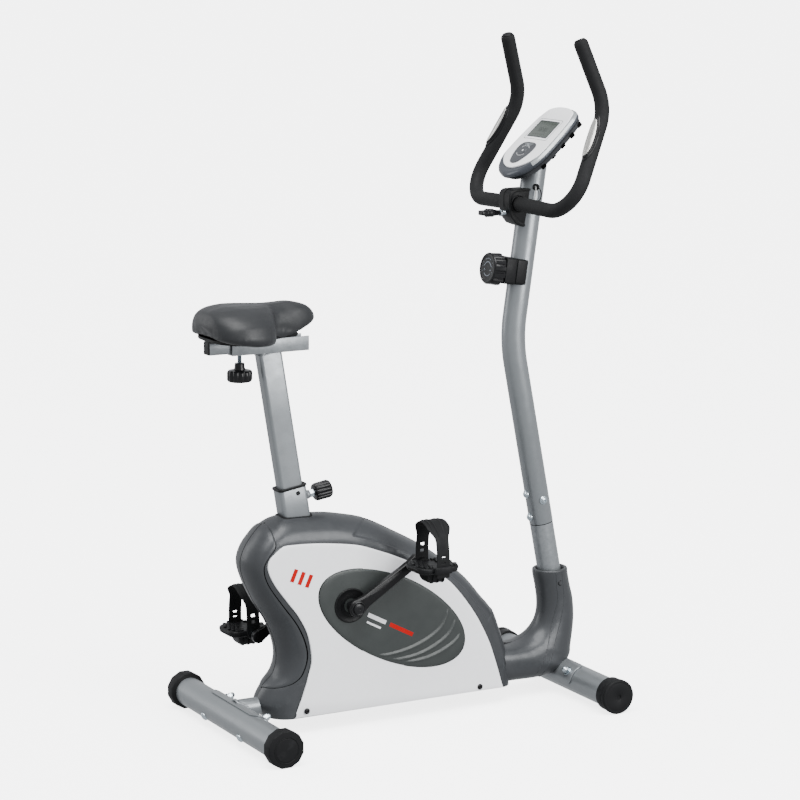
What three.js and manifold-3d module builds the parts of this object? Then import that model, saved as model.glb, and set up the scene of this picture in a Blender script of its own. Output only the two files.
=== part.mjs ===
// Upright magnetic exercise bike, built as the assembly that comes apart on a bench.
// Millimetres. +X points to the handlebar (forward), +Y to the rider's left, +Z up.
// The origin is on the floor, in the middle of the bike's length and width.
import * as THREE from 'three';
import { mergeVertices } from 'three/addons/utils/BufferGeometryUtils.js';
import Module from 'manifold-3d';

const wasm = await Module();
wasm.setup();

// ---------------------------------------------------------------- driving dimensions
const GAP = 0.3;                       // clearance kept between touching pieces
const BIG = 1000;                      // reach of a cutting block

const TUBE_RADIUS = 30;                // floor stabilisers
const TUBE_WALL = 1.8;
const AXIS_HEIGHT = 36.5;              // stabiliser axes above the floor
const REAR_X = -370;
const FRONT_X = 393.7;
const REAR_HALF_WIDTH = 246;           // over the levelling caps
const FRONT_HALF_WIDTH = 243.5;        // over the transport wheels
const STABILISER_BOLT_Y = 85;
const BOLT_BORE = 5;                   // bores for the 8 mm bolts

const BEAM_RADIUS = 18;
const BEAM_HEIGHT = 55.5;
const BEAM_TOP = BEAM_HEIGHT + BEAM_RADIUS;

const POST_RADIUS = 25;                // upright handlebar post
const POST_WALL = 1.5;
const POST_SIDES = 12;
const POST_JOINT = [350.1, 365.2];     // seam where the upper post slips over the lower one
const POST_BEND = [274.2, 760.3];      // where the two straight runs would meet
const POST_BEND_RADIUS = 300;
const POST_FOOT = [384, 60];
const POST_TOP = [333.5, 1168];

const CRANK = [-135, 256];             // crank axle in side view
const CRANK_LENGTH = 160;
const CRANK_ANGLE = THREE.MathUtils.degToRad(31.5);
const CRANK_ARM_Y = 84;                // inner face of the crank arms
const CRANK_ARM_THICK = 12;
const PEDAL_Y = 155;                   // middle of the pedal decks
const PULLEY_RADIUS = 88;
const PULLEY_Y = 34;
const BELT_WIDTH = 10;
const FLYWHEEL = [80, 174];
const FLYWHEEL_RADIUS = 80;
const SMALL_PULLEY_RADIUS = 14;

const SHELL_HALF_WIDTH = 57;
const SHELL_BOTTOM = 34;
const SHELL_WALL = 3;
const PANEL_THICK = 4.2;

const SEAT_FOOT = [-231.8, 443];       // seat tube axis where it leaves the shell
const SEAT_LEAN = Math.atan(0.1617);   // seat tube leans back by this angle
const SEAT_TUBE = [60, 40, 8];         // length, width and corner radius of its section
const SEAT_POST = [50, 30, 7];
const SEAT_TUBE_TOP = 498;
const SEAT_POST_FOOT = 255;

const RAIL_HEIGHT = 777;               // underside of the saddle channel
const SADDLE_KNOB_X = -348;
const SADDLE_BOTTOM = 803;
const SADDLE_TOP = 873;

const BAR = [276, 1043.8];           // handlebar axis inside its clamp
const BAR_RADIUS = 12.5;
const CLAMP_HALF_WIDTH = 22;
const GRIP_RADIUS = 15;
const BAR_BENDS = [                    // right half: x, distance from the middle, z, bend radius
  [276, 30, 1043.8, 60],
  [285.2, 213.5, 1038.8, 64],
  [390.1, 167.1, 1244.5, 95],
  [343.8, 143, 1378.8, 0],
];

const CONSOLE_CENTRE = [348, 1191];    // middle of the display window
const CONSOLE_SLOPE = Math.atan2(0.6656, 0.7463);
const CONSOLE_DEPTH = 28;

// ---------------------------------------------------------------- vectors and solids
const point = (x, y, z) => new THREE.Vector3(x, y, z);
const flat = (x, z) => new THREE.Vector2(x, z);
const flats = (pairs) => pairs.map(([x, z]) => flat(x, z));
const Z_AXIS = point(0, 0, 1);

// A closed geometry becomes a solid that can be joined and cut.
function solid(geometry) {
  const plain = geometry.clone();
  plain.deleteAttribute('normal');
  plain.deleteAttribute('uv');
  const merged = mergeVertices(plain, 1e-3);
  return new wasm.Manifold(new wasm.Mesh({
    numProp: 3,
    vertProperties: merged.attributes.position.array,
    triVerts: new Uint32Array(merged.index.array),
  }));
}

function geometryOf(manifold) {
  const mesh = manifold.getMesh();
  const geometry = new THREE.BufferGeometry();
  geometry.setAttribute('position', new THREE.BufferAttribute(mesh.vertProperties, 3));
  geometry.setIndex(new THREE.BufferAttribute(mesh.triVerts, 1));
  return geometry;
}

const join = (first, ...others) => others.reduce((body, other) => body.add(other), first);
const cut = (first, ...others) => others.reduce((body, other) => body.subtract(other), first);
const common = (first, ...others) => others.reduce((body, other) => body.intersect(other), first);

// A block given by its lowest and highest corner.
function block(low, high) {
  const size = high.map((value, axis) => value - low[axis]);
  const geometry = new THREE.BoxGeometry(...size);
  geometry.translate(...low.map((value, axis) => value + size[axis] / 2));
  return solid(geometry);
}

// A round bar between two points; endRadius makes it a cone.
function rod(from, to, radius, sides = 12, endRadius = radius) {
  const along = to.clone().sub(from);
  const length = along.length();
  const geometry = new THREE.CylinderGeometry(endRadius, radius, length, sides);
  geometry.rotateX(Math.PI / 2);
  geometry.translate(0, 0, length / 2);
  geometry.applyQuaternion(new THREE.Quaternion().setFromUnitVectors(Z_AXIS, along.normalize()));
  geometry.translate(from.x, from.y, from.z);
  return solid(geometry);
}

// A round piece turned about the line between two points. Its profile lists the distance from the
// first point and the radius there, and starts and ends on the axis.
function turned(from, to, profile, sides) {
  const outline = profile.map(([distance, radius]) => flat(radius, distance));
  const geometry = new THREE.LatheGeometry(outline, sides);
  geometry.rotateX(Math.PI / 2);
  const along = to.clone().sub(from).normalize();
  geometry.applyQuaternion(new THREE.Quaternion().setFromUnitVectors(Z_AXIS, along));
  geometry.translate(from.x, from.y, from.z);
  return solid(geometry);
}

// A round bar across the bike at one place in side view.
const crossRod = ([x, z], yLow, yHigh, radius, sides = 16) =>
  rod(point(x, yLow, z), point(x, yHigh, z), radius, sides);

function shapeOf(outline, holes = []) {
  const shape = new THREE.Shape(outline);
  shape.holes = holes.map((hole) => new THREE.Path(hole));
  return shape;
}

// A side-view outline carried across the bike from one Y to another.
function sideSlab(outline, yLow, yHigh, bevel = 0) {
  const geometry = new THREE.ExtrudeGeometry(shapeOf(outline), {
    depth: yHigh - yLow - 2 * bevel,
    bevelEnabled: bevel > 0,
    bevelThickness: bevel,
    bevelSize: bevel,
    bevelOffset: -bevel,
    bevelSegments: 2,
  });
  geometry.rotateX(Math.PI / 2);
  geometry.translate(0, yHigh - bevel, 0);
  return solid(geometry);
}

// A plan-view outline carried up from one Z to another.
function planSlab(outline, zLow, zHigh, bevel = 0) {
  const geometry = new THREE.ExtrudeGeometry(shapeOf(outline), {
    depth: zHigh - zLow - 2 * bevel,
    bevelEnabled: bevel > 0,
    bevelThickness: bevel,
    bevelSize: bevel,
    bevelOffset: -bevel,
    bevelSegments: 2,
  });
  geometry.translate(0, 0, zLow + bevel);
  return solid(geometry);
}

function circleOutline(radius, sides, centre = [0, 0]) {
  const ring = [];
  for (let step = 0; step < sides; step += 1) {
    const angle = (step / sides) * 2 * Math.PI;
    ring.push(flat(centre[0] + radius * Math.cos(angle), centre[1] + radius * Math.sin(angle)));
  }
  return ring;
}

function roundedRectangle(length, width, radius, grow = 0) {
  const halfLength = length / 2 + grow;
  const halfWidth = width / 2 + grow;
  const corner = radius + grow;
  const outline = [];
  const corners = [[1, 1, 0], [-1, 1, 90], [-1, -1, 180], [1, -1, 270]];
  for (const [signX, signY, start] of corners) {
    for (const turn of [0, 45, 90]) {
      const angle = THREE.MathUtils.degToRad(start + turn);
      const x = signX * (halfLength - corner) + corner * Math.cos(angle);
      const y = signY * (halfWidth - corner) + corner * Math.sin(angle);
      outline.push(flat(x, y));
    }
  }
  return outline;
}

// A section carried along a curve; a second section makes it a hollow tube.
function sweep(curve, section, bore = null, steps = curve.places.length - 1) {
  const shape = shapeOf(section, bore ? [bore] : []);
  return solid(new THREE.ExtrudeGeometry(shape, { steps, extrudePath: curve }));
}

// A curve through given places, one step of a sweep for each stretch between two of them.
class StepPath extends THREE.Curve {
  constructor(places) {
    super();
    this.places = places;
  }

  getPoint(t) {
    const along = t * (this.places.length - 1);
    const first = Math.min(Math.floor(along), this.places.length - 2);
    return this.places[first].clone().lerp(this.places[first + 1], along - first);
  }

  getPointAt(t) {
    return this.getPoint(t);
  }

  getTangentAt(t) {
    const last = this.places.length - 1;
    const here = Math.round(t * last);
    const direction = (from, to) => this.places[to].clone().sub(this.places[from]).normalize();
    if (here === 0) return direction(0, 1);
    if (here === last) return direction(last - 1, last);
    return direction(here - 1, here).add(direction(here, here + 1)).normalize();
  }
}

// A path through corner points whose bends are rounded to the radius given with each corner.
function bentPath(corners, bendSteps) {
  const places = [corners[0].at];
  for (let index = 1; index < corners.length - 1; index += 1) {
    const { at, radius } = corners[index];
    const back = corners[index - 1].at.clone().sub(at).normalize();
    const onward = corners[index + 1].at.clone().sub(at).normalize();
    const halfAngle = back.angleTo(onward) / 2;
    const reach = radius / Math.tan(halfAngle);
    const between = back.clone().add(onward).normalize();
    const centre = between.multiplyScalar(radius / Math.sin(halfAngle)).add(at);
    const entry = at.clone().addScaledVector(back, reach).sub(centre);
    const exit = at.clone().addScaledVector(onward, reach).sub(centre);
    const turn = entry.angleTo(exit);
    for (let step = 0; step <= bendSteps; step += 1) {
      const share = step / bendSteps;
      const place = entry.clone().multiplyScalar(Math.sin((1 - share) * turn) / Math.sin(turn));
      places.push(place.addScaledVector(exit, Math.sin(share * turn) / Math.sin(turn)).add(centre));
    }
  }
  places.push(corners[corners.length - 1].at);
  return new StepPath(places);
}

const splinePoints = (pairs, count) => new THREE.SplineCurve(flats(pairs)).getPoints(count);

// ---------------------------------------------------------------- the assembly and its finishes
const bike = new THREE.Group();
bike.name = 'exercise_bike';

const FINISHES = {
  silverPaint: { color: 0xb9bfc1, roughness: 0.38, metalness: 0.7 },
  zinc: { color: 0xc9d0d4, roughness: 0.3, metalness: 0.95 },
  greyPlastic: { color: 0x5b5f63, roughness: 0.42, metalness: 0 },
  whitePlastic: { color: 0xe8e8ee, roughness: 0.35, metalness: 0 },
  blackPlastic: { color: 0x26282a, roughness: 0.5, metalness: 0 },
  blackSteel: { color: 0x1b1c1e, roughness: 0.35, metalness: 0.6 },
  castIron: { color: 0x6c6e70, roughness: 0.5, metalness: 0.9 },
  rubber: { color: 0x1c1d1e, roughness: 0.75, metalness: 0 },
  foam: { color: 0x232425, roughness: 0.9, metalness: 0 },
  vinyl: { color: 0x2b2d2f, roughness: 0.45, metalness: 0 },
  display: { color: 0x5d6b60, roughness: 0.15, metalness: 0 },
};

function addPart(name, body, finish) {
  const mesh = new THREE.Mesh(geometryOf(body), new THREE.MeshStandardMaterial(FINISHES[finish]));
  mesh.name = name;
  bike.add(mesh);
  return mesh;
}

const SIDES = { left: 1, right: -1 };

// Mirrors a body built on the right-hand side when the left one is wanted.
const onSide = (body, sign) => (sign < 0 ? body : body.mirror([0, 1, 0]));

// ---------------------------------------------------------------- frame
const postLowerDirection = flat(POST_BEND[0] - POST_JOINT[0], POST_BEND[1] - POST_JOINT[1]).normalize();
const postUpperDirection = flat(POST_TOP[0] - POST_BEND[0], POST_TOP[1] - POST_BEND[1]).normalize();

// A place on the post's lower straight run at a height, moved forward of its axis by an offset.
function onLowerPost(z, forward = 0, y = 0) {
  const travel = (z - POST_JOINT[1]) / postLowerDirection.y;
  const x = POST_JOINT[0] + travel * postLowerDirection.x;
  return point(x + forward * postLowerDirection.y, y, z - forward * postLowerDirection.x);
}

// The same on the upper straight run.
function onUpperPost(z, forward = 0, y = 0) {
  const travel = (z - POST_BEND[1]) / postUpperDirection.y;
  const x = POST_BEND[0] + travel * postUpperDirection.x;
  return point(x + forward * postUpperDirection.y, y, z - forward * postUpperDirection.x);
}

// A place on the seat tube's axis at a height.
const onSeatAxis = (z) => point(SEAT_FOOT[0] - (z - SEAT_FOOT[1]) * Math.tan(SEAT_LEAN), 0, z);

// A bar of the seat tube's kind of section between two heights of its leaning axis.
function seatBar(section, zLow, zHigh, grow = 0) {
  const low = onSeatAxis(zLow);
  const length = low.distanceTo(onSeatAxis(zHigh));
  const outline = roundedRectangle(...section, grow);
  const geometry = new THREE.ExtrudeGeometry(shapeOf(outline), { depth: length, bevelEnabled: false });
  geometry.rotateY(-SEAT_LEAN);
  geometry.translate(low.x, low.y, low.z);
  return solid(geometry);
}

// A curved plate that hugs a stabiliser tube through an arc given in degrees above +X.
function saddlePlate(axisX, startDegrees, endDegrees, halfWidth) {
  const inner = TUBE_RADIUS + GAP;
  const outer = inner + 3;
  const outline = [];
  const steps = 6;
  for (let step = 0; step <= steps; step += 1) {
    const angle = THREE.MathUtils.degToRad(startDegrees + ((endDegrees - startDegrees) * step) / steps);
    outline.push(flat(axisX + outer * Math.cos(angle), AXIS_HEIGHT + outer * Math.sin(angle)));
  }
  for (let step = steps; step >= 0; step -= 1) {
    const angle = THREE.MathUtils.degToRad(startDegrees + ((endDegrees - startDegrees) * step) / steps);
    outline.push(flat(axisX + inner * Math.cos(angle), AXIS_HEIGHT + inner * Math.sin(angle)));
  }
  return sideSlab(outline, -halfWidth, halfWidth);
}

const REAR_BOLT_ANGLE = THREE.MathUtils.degToRad(30);
const FRONT_BOLT_ANGLE = THREE.MathUtils.degToRad(143);

// A place at a distance from a stabiliser's axis along its bolts.
function alongBolt(axisX, angle, distance, y) {
  return point(axisX + distance * Math.cos(angle), y, AXIS_HEIGHT + distance * Math.sin(angle));
}

// The bores that the four stabiliser bolts pass through.
function boltBores(axisX, angle) {
  const bores = Object.values(SIDES).map((sign) => {
    const y = sign * STABILISER_BOLT_Y;
    return rod(alongBolt(axisX, angle, -60, y), alongBolt(axisX, angle, 60, y), BOLT_BORE, 6);
  });
  return join(...bores);
}

function makeStabilisers() {
  for (const [name, axisX, angle] of [
    ['rear_stabiliser', REAR_X, REAR_BOLT_ANGLE],
    ['front_stabiliser', FRONT_X, FRONT_BOLT_ANGLE],
  ]) {
    const end = name === 'rear_stabiliser' ? REAR_HALF_WIDTH - 6 : FRONT_HALF_WIDTH - 17;
    const outer = crossRod([axisX, AXIS_HEIGHT], -end, end, TUBE_RADIUS, 20);
    const bore = crossRod([axisX, AXIS_HEIGHT], -end - 1, end + 1, TUBE_RADIUS - TUBE_WALL, 20);
    addPart(name, cut(outer, bore, boltBores(axisX, angle)), 'silverPaint');
  }
}

function makeMainBeam() {
  const beam = alongBar(REAR_X + 10, FRONT_X - 10, BEAM_RADIUS);
  const bore = alongBar(REAR_X + 45, FRONT_X - 45, BEAM_RADIUS - 2);
  const rearPlate = saddlePlate(REAR_X, -12, 100, 105);
  const frontPlate = saddlePlate(FRONT_X, 84, 192, 105);
  const rearTube = crossRod([REAR_X, AXIS_HEIGHT], -BIG, BIG, TUBE_RADIUS + GAP, 20);
  const frontTube = crossRod([FRONT_X, AXIS_HEIGHT], -BIG, BIG, TUBE_RADIUS + GAP, 20);
  const drain = block([40, -6, BEAM_HEIGHT - BEAM_RADIUS - 1], [60, 6, BEAM_HEIGHT - BEAM_RADIUS + 6]);
  const shell = join(cut(beam, bore, drain), rearPlate, frontPlate);
  const bolts = join(boltBores(REAR_X, REAR_BOLT_ANGLE), boltBores(FRONT_X, FRONT_BOLT_ANGLE));
  addPart('main_beam', cut(shell, rearTube, frontTube, bolts), 'silverPaint');
}

// A round bar along the bike at the beam's height.
function alongBar(xLow, xHigh, radius) {
  return rod(point(xLow, 0, BEAM_HEIGHT), point(xHigh, 0, BEAM_HEIGHT), radius, 12);
}

function makeSeatTube() {
  const foot = BEAM_TOP - 4;
  const tube = seatBar(SEAT_TUBE, foot, SEAT_TUBE_TOP);
  const bore = seatBar(SEAT_POST, foot - 10, SEAT_TUBE_TOP + 10, 3);
  const beamRoom = alongBar(-BIG, BIG, BEAM_RADIUS + GAP);
  const housing = crossRod(CRANK, -26, 26, 24);
  const housingBore = crossRod(CRANK, -27, 27, 19);
  const web = sideSlab(flats([[-178, 235], [-150, 240], [-150, 272], [-186, 278]]), -4, 4);
  const pinBoss = rod(seatPinPoint(30), seatPinPoint(39), 11, 16, 8);
  const pinBore = rod(seatPinPoint(10), seatPinPoint(45), 5.4, 12);
  const frame = join(tube, housing, web, pinBoss);
  addPart('seat_tube', cut(frame, bore, housingBore, beamRoom, pinBore), 'silverPaint');
}

const SEAT_PIN_HEIGHT = 474;

// A place on the height pin's axis, which is square to the seat tube and points forward and up.
function seatPinPoint(distance) {
  const base = onSeatAxis(SEAT_PIN_HEIGHT);
  return point(base.x + distance * Math.cos(SEAT_LEAN), 0, base.z + distance * Math.sin(SEAT_LEAN));
}

function makeSeatSleeve() {
  const rim = seatBar(SEAT_TUBE, SEAT_TUBE_TOP + GAP, SEAT_TUBE_TOP + 5, 1);
  const liner = seatBar(SEAT_POST, SEAT_TUBE_TOP - 20, SEAT_TUBE_TOP + 5, 2.7);
  const bore = seatBar(SEAT_POST, SEAT_TUBE_TOP - 40, SEAT_TUBE_TOP + 20, GAP);
  const pinBore = rod(seatPinPoint(10), seatPinPoint(45), 5.4, 12);
  addPart('seat_sleeve', cut(join(rim, liner), bore, pinBore), 'blackPlastic');
}

function makeFlywheelBracket() {
  const ear = flats([
    [FLYWHEEL[0] - 34, BEAM_TOP - 9], [FLYWHEEL[0] + 34, BEAM_TOP - 9],
    [FLYWHEEL[0] + 13, FLYWHEEL[1] + 13], [FLYWHEEL[0] - 13, FLYWHEEL[1] + 13],
  ]);
  const ears = join(sideSlab(ear, 16, 20), sideSlab(ear, -20, -16));
  const foot = block([FLYWHEEL[0] - 34, -20, BEAM_TOP - 13], [FLYWHEEL[0] + 34, 20, BEAM_TOP + 3]);
  const axleBore = crossRod(FLYWHEEL, -30, 30, 6.4, 16);
  const beamRoom = alongBar(-BIG, BIG, BEAM_RADIUS + GAP);
  addPart('flywheel_bracket', cut(join(ears, foot), axleBore, beamRoom), 'blackSteel');
}

// The holes of the three bolts that hold the upper post on the lower one.
const POST_BOLT_HEIGHTS = { post_bolt_rear_upper: 432, post_bolt_rear_lower: 382 };
const POST_SIDE_BOLT_HEIGHT = 416.6;

function postBoltBores() {
  const rears = Object.values(POST_BOLT_HEIGHTS).map((z) =>
    rod(onLowerPost(z, -POST_RADIUS - 8), onLowerPost(z, -8), BOLT_BORE, 6));
  const side = onLowerPost(POST_SIDE_BOLT_HEIGHT);
  return join(crossRod([side.x, side.z], -40, 40, BOLT_BORE, 6), ...rears);
}

const CABLE_OFFSET = 11;               // the cable hangs forward of the post's axis
const CABLE_ENTRY_Z = 905;
const CABLE_EXIT_Z = 128;

function makePosts() {
  const lowerRadius = POST_RADIUS - POST_WALL - GAP;
  const lowerLine = bentPath([
    { at: point(POST_FOOT[0], 0, POST_FOOT[1]) },
    { at: onLowerPost(150), radius: 80 },
    { at: onLowerPost(455) },
  ], 3);
  const lowerBore = circleOutline(lowerRadius - 2, POST_SIDES);
  const lower = sweep(lowerLine, circleOutline(lowerRadius, POST_SIDES), lowerBore);
  const plateRoom = crossRod([FRONT_X, AXIS_HEIGHT], -BIG, BIG, TUBE_RADIUS + 3 + 4 * GAP, 20);
  const beamRoom = alongBar(-BIG, FRONT_X, BEAM_RADIUS + GAP);
  const cableSlot = rod(onLowerPost(CABLE_EXIT_Z, -40), onLowerPost(CABLE_EXIT_Z, 0), 9, 12);
  const lowerPost = cut(lower, plateRoom, beamRoom, cableSlot, postBoltBores());
  addPart('lower_post', lowerPost, 'silverPaint');

  const path = bentPath([
    { at: point(POST_JOINT[0], 0, POST_JOINT[1]) },
    { at: point(POST_BEND[0], 0, POST_BEND[1]), radius: POST_BEND_RADIUS },
    { at: point(POST_TOP[0], 0, POST_TOP[1]) },
  ], 8);
  const bore = circleOutline(POST_RADIUS - POST_WALL, POST_SIDES);
  const upper = sweep(path, circleOutline(POST_RADIUS, POST_SIDES), bore);
  const cableHole = rod(onUpperPost(CABLE_ENTRY_Z, -45), onUpperPost(CABLE_ENTRY_Z, 0), 6, 12);
  const consoleRoom = inConsole(block([-BIG, -BIG, -CONSOLE_DEPTH - GAP], [BIG, BIG, BIG]));
  addPart('upper_post', cut(upper, cableHole, consoleRoom, postBoltBores()), 'silverPaint');
}

// ---------------------------------------------------------------- fasteners
// A domed carriage bolt with its washer and cap nut, tightened as one piece.
function stabiliserBolt(axisX, angle, y) {
  const at = (distance) => alongBolt(axisX, angle, distance, y);
  const outside = TUBE_RADIUS + GAP;
  const plate = TUBE_RADIUS + 3 + 2 * GAP;
  return turned(at(0), at(1), [
    [-outside - 4.5, 0], [-outside - 4.5, 5], [-outside, 9.5], [-outside, 4], [plate, 4], [plate, 9],
    [plate + 2, 9], [plate + 2, 7.5], [plate + 10, 7], [plate + 15, 2.5], [plate + 15, 0],
  ], 8);
}

// A button-head screw with a washer, its shank going inward by a depth.
function postBolt(headAt, inward, depth) {
  const at = (distance) => headAt.clone().addScaledVector(inward, distance);
  return turned(at(0), at(1), [
    [-5.5, 0], [-5.5, 4.6], [-2.5, 6.6], [-2.5, 9], [-0.6, 9], [-0.6, 4], [depth, 4], [depth, 0],
  ], 8);
}

function makeFasteners() {
  for (const [side, sign] of Object.entries(SIDES)) {
    const y = sign * STABILISER_BOLT_Y;
    addPart(`rear_bolt_${side}`, stabiliserBolt(REAR_X, REAR_BOLT_ANGLE, y), 'zinc');
    addPart(`front_bolt_${side}`, stabiliserBolt(FRONT_X, FRONT_BOLT_ANGLE, y), 'zinc');
  }
  for (const [name, z] of Object.entries(POST_BOLT_HEIGHTS)) {
    const surface = onLowerPost(z, -POST_RADIUS);
    const inward = onLowerPost(z).sub(surface).normalize();
    addPart(name, postBolt(surface, inward, 14), 'zinc');
  }
  const middle = onLowerPost(POST_SIDE_BOLT_HEIGHT);
  const heads = Object.values(SIDES).map((sign) =>
    postBolt(point(middle.x, sign * POST_RADIUS, middle.z), point(0, -sign, 0), POST_RADIUS + 1));
  addPart('post_bolt_side', join(...heads), 'zinc');
}

// ---------------------------------------------------------------- floor caps and wheels
function makeFloorCaps() {
  for (const [side, sign] of Object.entries(SIDES)) {
    const inner = REAR_HALF_WIDTH - 30;
    // Twelve flats; each is a little further from the axis than the one below it, for levelling.
    const corners = [];
    const flatDistance = (step) => AXIS_HEIGHT + 0.3 * Math.min(step, 12 - step);
    for (let step = 0; step < 12; step += 1) {
      const here = flatDistance(step);
      const next = flatDistance(step + 1);
      const angle = THREE.MathUtils.degToRad(-90 + 30 * step);
      const slide = (next - here * Math.cos(Math.PI / 6)) / Math.sin(Math.PI / 6);
      corners.push(flat(
        REAR_X + here * Math.cos(angle) - slide * Math.sin(angle),
        AXIS_HEIGHT + here * Math.sin(angle) + slide * Math.cos(angle),
      ));
    }
    const cap = sideSlab(corners, -REAR_HALF_WIDTH, -inner);
    const pocketRadius = TUBE_RADIUS + 2 * GAP;
    const pocket = crossRod([REAR_X, AXIS_HEIGHT], -REAR_HALF_WIDTH + 5, -inner + 1, pocketRadius, 20);
    addPart(`rear_cap_${side}`, onSide(cut(cap, pocket), sign), 'rubber');

    const seam = FRONT_HALF_WIDTH - 12;
    const axis = [FRONT_X, AXIS_HEIGHT];
    const sleeve = crossRod(axis, -seam, -FRONT_HALF_WIDTH + 34, AXIS_HEIGHT - 1, 20);
    const sleevePocket = crossRod(axis, -seam + 4, -FRONT_HALF_WIDTH + 35, TUBE_RADIUS + GAP, 20);
    const pin = crossRod(axis, -FRONT_HALF_WIDTH + 3, -seam + 1, 4, 12);
    addPart(`front_cap_${side}`, onSide(join(cut(sleeve, sleevePocket), pin), sign), 'blackPlastic');
    const wheel = crossRod(axis, -FRONT_HALF_WIDTH, -seam - GAP, AXIS_HEIGHT, 24);
    const wheelBore = crossRod(axis, -BIG, BIG, 4.5, 12);
    addPart(`transport_wheel_${side}`, onSide(cut(wheel, wheelBore), sign), 'rubber');
  }
}

// ---------------------------------------------------------------- drive
const crankPoint = (angle, y) => point(
  CRANK[0] + CRANK_LENGTH * Math.cos(angle), y, CRANK[1] + CRANK_LENGTH * Math.sin(angle));

function makeCrank() {
  const armOuter = CRANK_ARM_Y + CRANK_ARM_THICK;
  const end = armOuter - 3;
  const axle = turned(point(CRANK[0], 0, CRANK[1]), point(CRANK[0], 1, CRANK[1]), [
    [-end, 0], [-end, 8], [PULLEY_Y - 7, 8], [PULLEY_Y - 7, 12], [PULLEY_Y + 7, 12], [PULLEY_Y + 7, 8],
    [end, 8], [end, 0],
  ], 16);
  addPart('crank_axle', axle, 'zinc');
  for (const [side, sign] of Object.entries(SIDES)) {
    const race = crossRod(CRANK, -25.5, -15, 19 - GAP);
    const bore = crossRod(CRANK, -40, 0, 8 + GAP, 16);
    addPart(`crank_bearing_${side}`, onSide(cut(race, bore), sign), 'zinc');

    const angle = sign < 0 ? CRANK_ANGLE : CRANK_ANGLE + Math.PI;
    const far = crankPoint(angle, 0);
    const boss = crossRod(CRANK, -armOuter, -CRANK_ARM_Y + 6, 18);
    const eye = crossRod([far.x, far.z], -armOuter, -CRANK_ARM_Y, 13, 12);
    const across = flat(-Math.sin(angle), Math.cos(angle));
    const edge = (centre, half) => [
      [centre[0] + across.x * half, centre[1] + across.y * half],
      [centre[0] - across.x * half, centre[1] - across.y * half],
    ];
    const [nearA, nearB] = edge(CRANK, 13);
    const [farA, farB] = edge([far.x, far.z], 10);
    const bar = sideSlab(flats([nearA, farA, farB, nearB]), -armOuter + 0.6, -CRANK_ARM_Y);
    const axleBore = crossRod(CRANK, -armOuter + 2.4, 0, 8 + GAP, 16);
    const spindleBore = crossRod([far.x, far.z], -BIG, BIG, 6 + GAP, 14);
    const arm = cut(join(boss, eye, bar), axleBore, spindleBore);
    addPart(`crank_arm_${side}`, onSide(arm, sign), 'blackSteel');
  }
  const disc = crossRod(CRANK, PULLEY_Y - 5.5, PULLEY_Y + 5.5, PULLEY_RADIUS, 24);
  const recess = cut(
    crossRod(CRANK, PULLEY_Y + 1, PULLEY_Y + 6, PULLEY_RADIUS - 8, 16),
    crossRod(CRANK, PULLEY_Y, PULLEY_Y + 7, 24, 20),
  );
  const pulleyBore = crossRod(CRANK, 0, 60, 12 + GAP, 16);
  addPart('drive_pulley', cut(disc, recess, pulleyBore), 'blackPlastic');
}

function makePedals() {
  const halfLength = 46;
  const halfWidth = 40;
  const deckRise = 8;
  for (const [side, sign] of Object.entries(SIDES)) {
    const angle = sign < 0 ? CRANK_ANGLE : CRANK_ANGLE + Math.PI;
    const centre = crankPoint(angle, -PEDAL_Y);
    const top = centre.z + deckRise;
    const outline = roundedRectangle(2 * halfLength, 2 * halfWidth, 20)
      .map((corner) => flat(corner.x + centre.x, corner.y - PEDAL_Y));
    const deck = planSlab(outline, top - 14, top + 2);
    const weight = sideSlab(flats([
      [centre.x - 24, top - 10], [centre.x - 17, top - 36], [centre.x + 17, top - 36],
      [centre.x + 24, top - 10],
    ]), -PEDAL_Y - halfWidth + 6, -PEDAL_Y + halfWidth);
    const spindle = crossRod([centre.x, centre.z], -PEDAL_Y + 30, -CRANK_ARM_Y - 1, 6, 14);
    const shoulder = crossRod([centre.x, centre.z],
      -PEDAL_Y + halfWidth - 1, -CRANK_ARM_Y - CRANK_ARM_THICK - GAP, 9, 14);
    const body = join(deck, weight, spindle, shoulder);
    addPart(`pedal_${side}`, onSide(body, sign), 'blackPlastic');

    // The strap stands over the deck as an arch across the foot and ends on the deck's edges.
    const reach = halfWidth + 3;
    const arch = new THREE.CatmullRomCurve3([
      point(centre.x, -PEDAL_Y - reach, top - 24),
      point(centre.x, -PEDAL_Y - reach, top + 34),
      point(centre.x, -PEDAL_Y - reach + 14, top + 78),
      point(centre.x, -PEDAL_Y, top + 88),
      point(centre.x, -PEDAL_Y + reach - 14, top + 72),
      point(centre.x, -PEDAL_Y + reach, top + 30),
      point(centre.x, -PEDAL_Y + reach, top - 10),
    ]);
    const strap = sweepStrap(arch, 15, 2.4, 22);
    const pedalRoom = crossRod([centre.x, centre.z], -PEDAL_Y + 20, -CRANK_ARM_Y, 9 + GAP, 14);
    addPart(`pedal_strap_${side}`, onSide(cut(strap, pedalRoom), sign), 'rubber');
  }
}

// A flat band whose width stays along X while it follows a curve across the bike.
function sweepStrap(curve, halfWidth, thick, steps) {
  const section = flats([
    [-halfWidth, -thick / 2], [halfWidth, -thick / 2], [halfWidth, thick / 2], [-halfWidth, thick / 2],
  ]);
  const geometry = new THREE.ExtrudeGeometry(shapeOf(section), { steps, extrudePath: curve });
  return solid(geometry);
}

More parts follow.
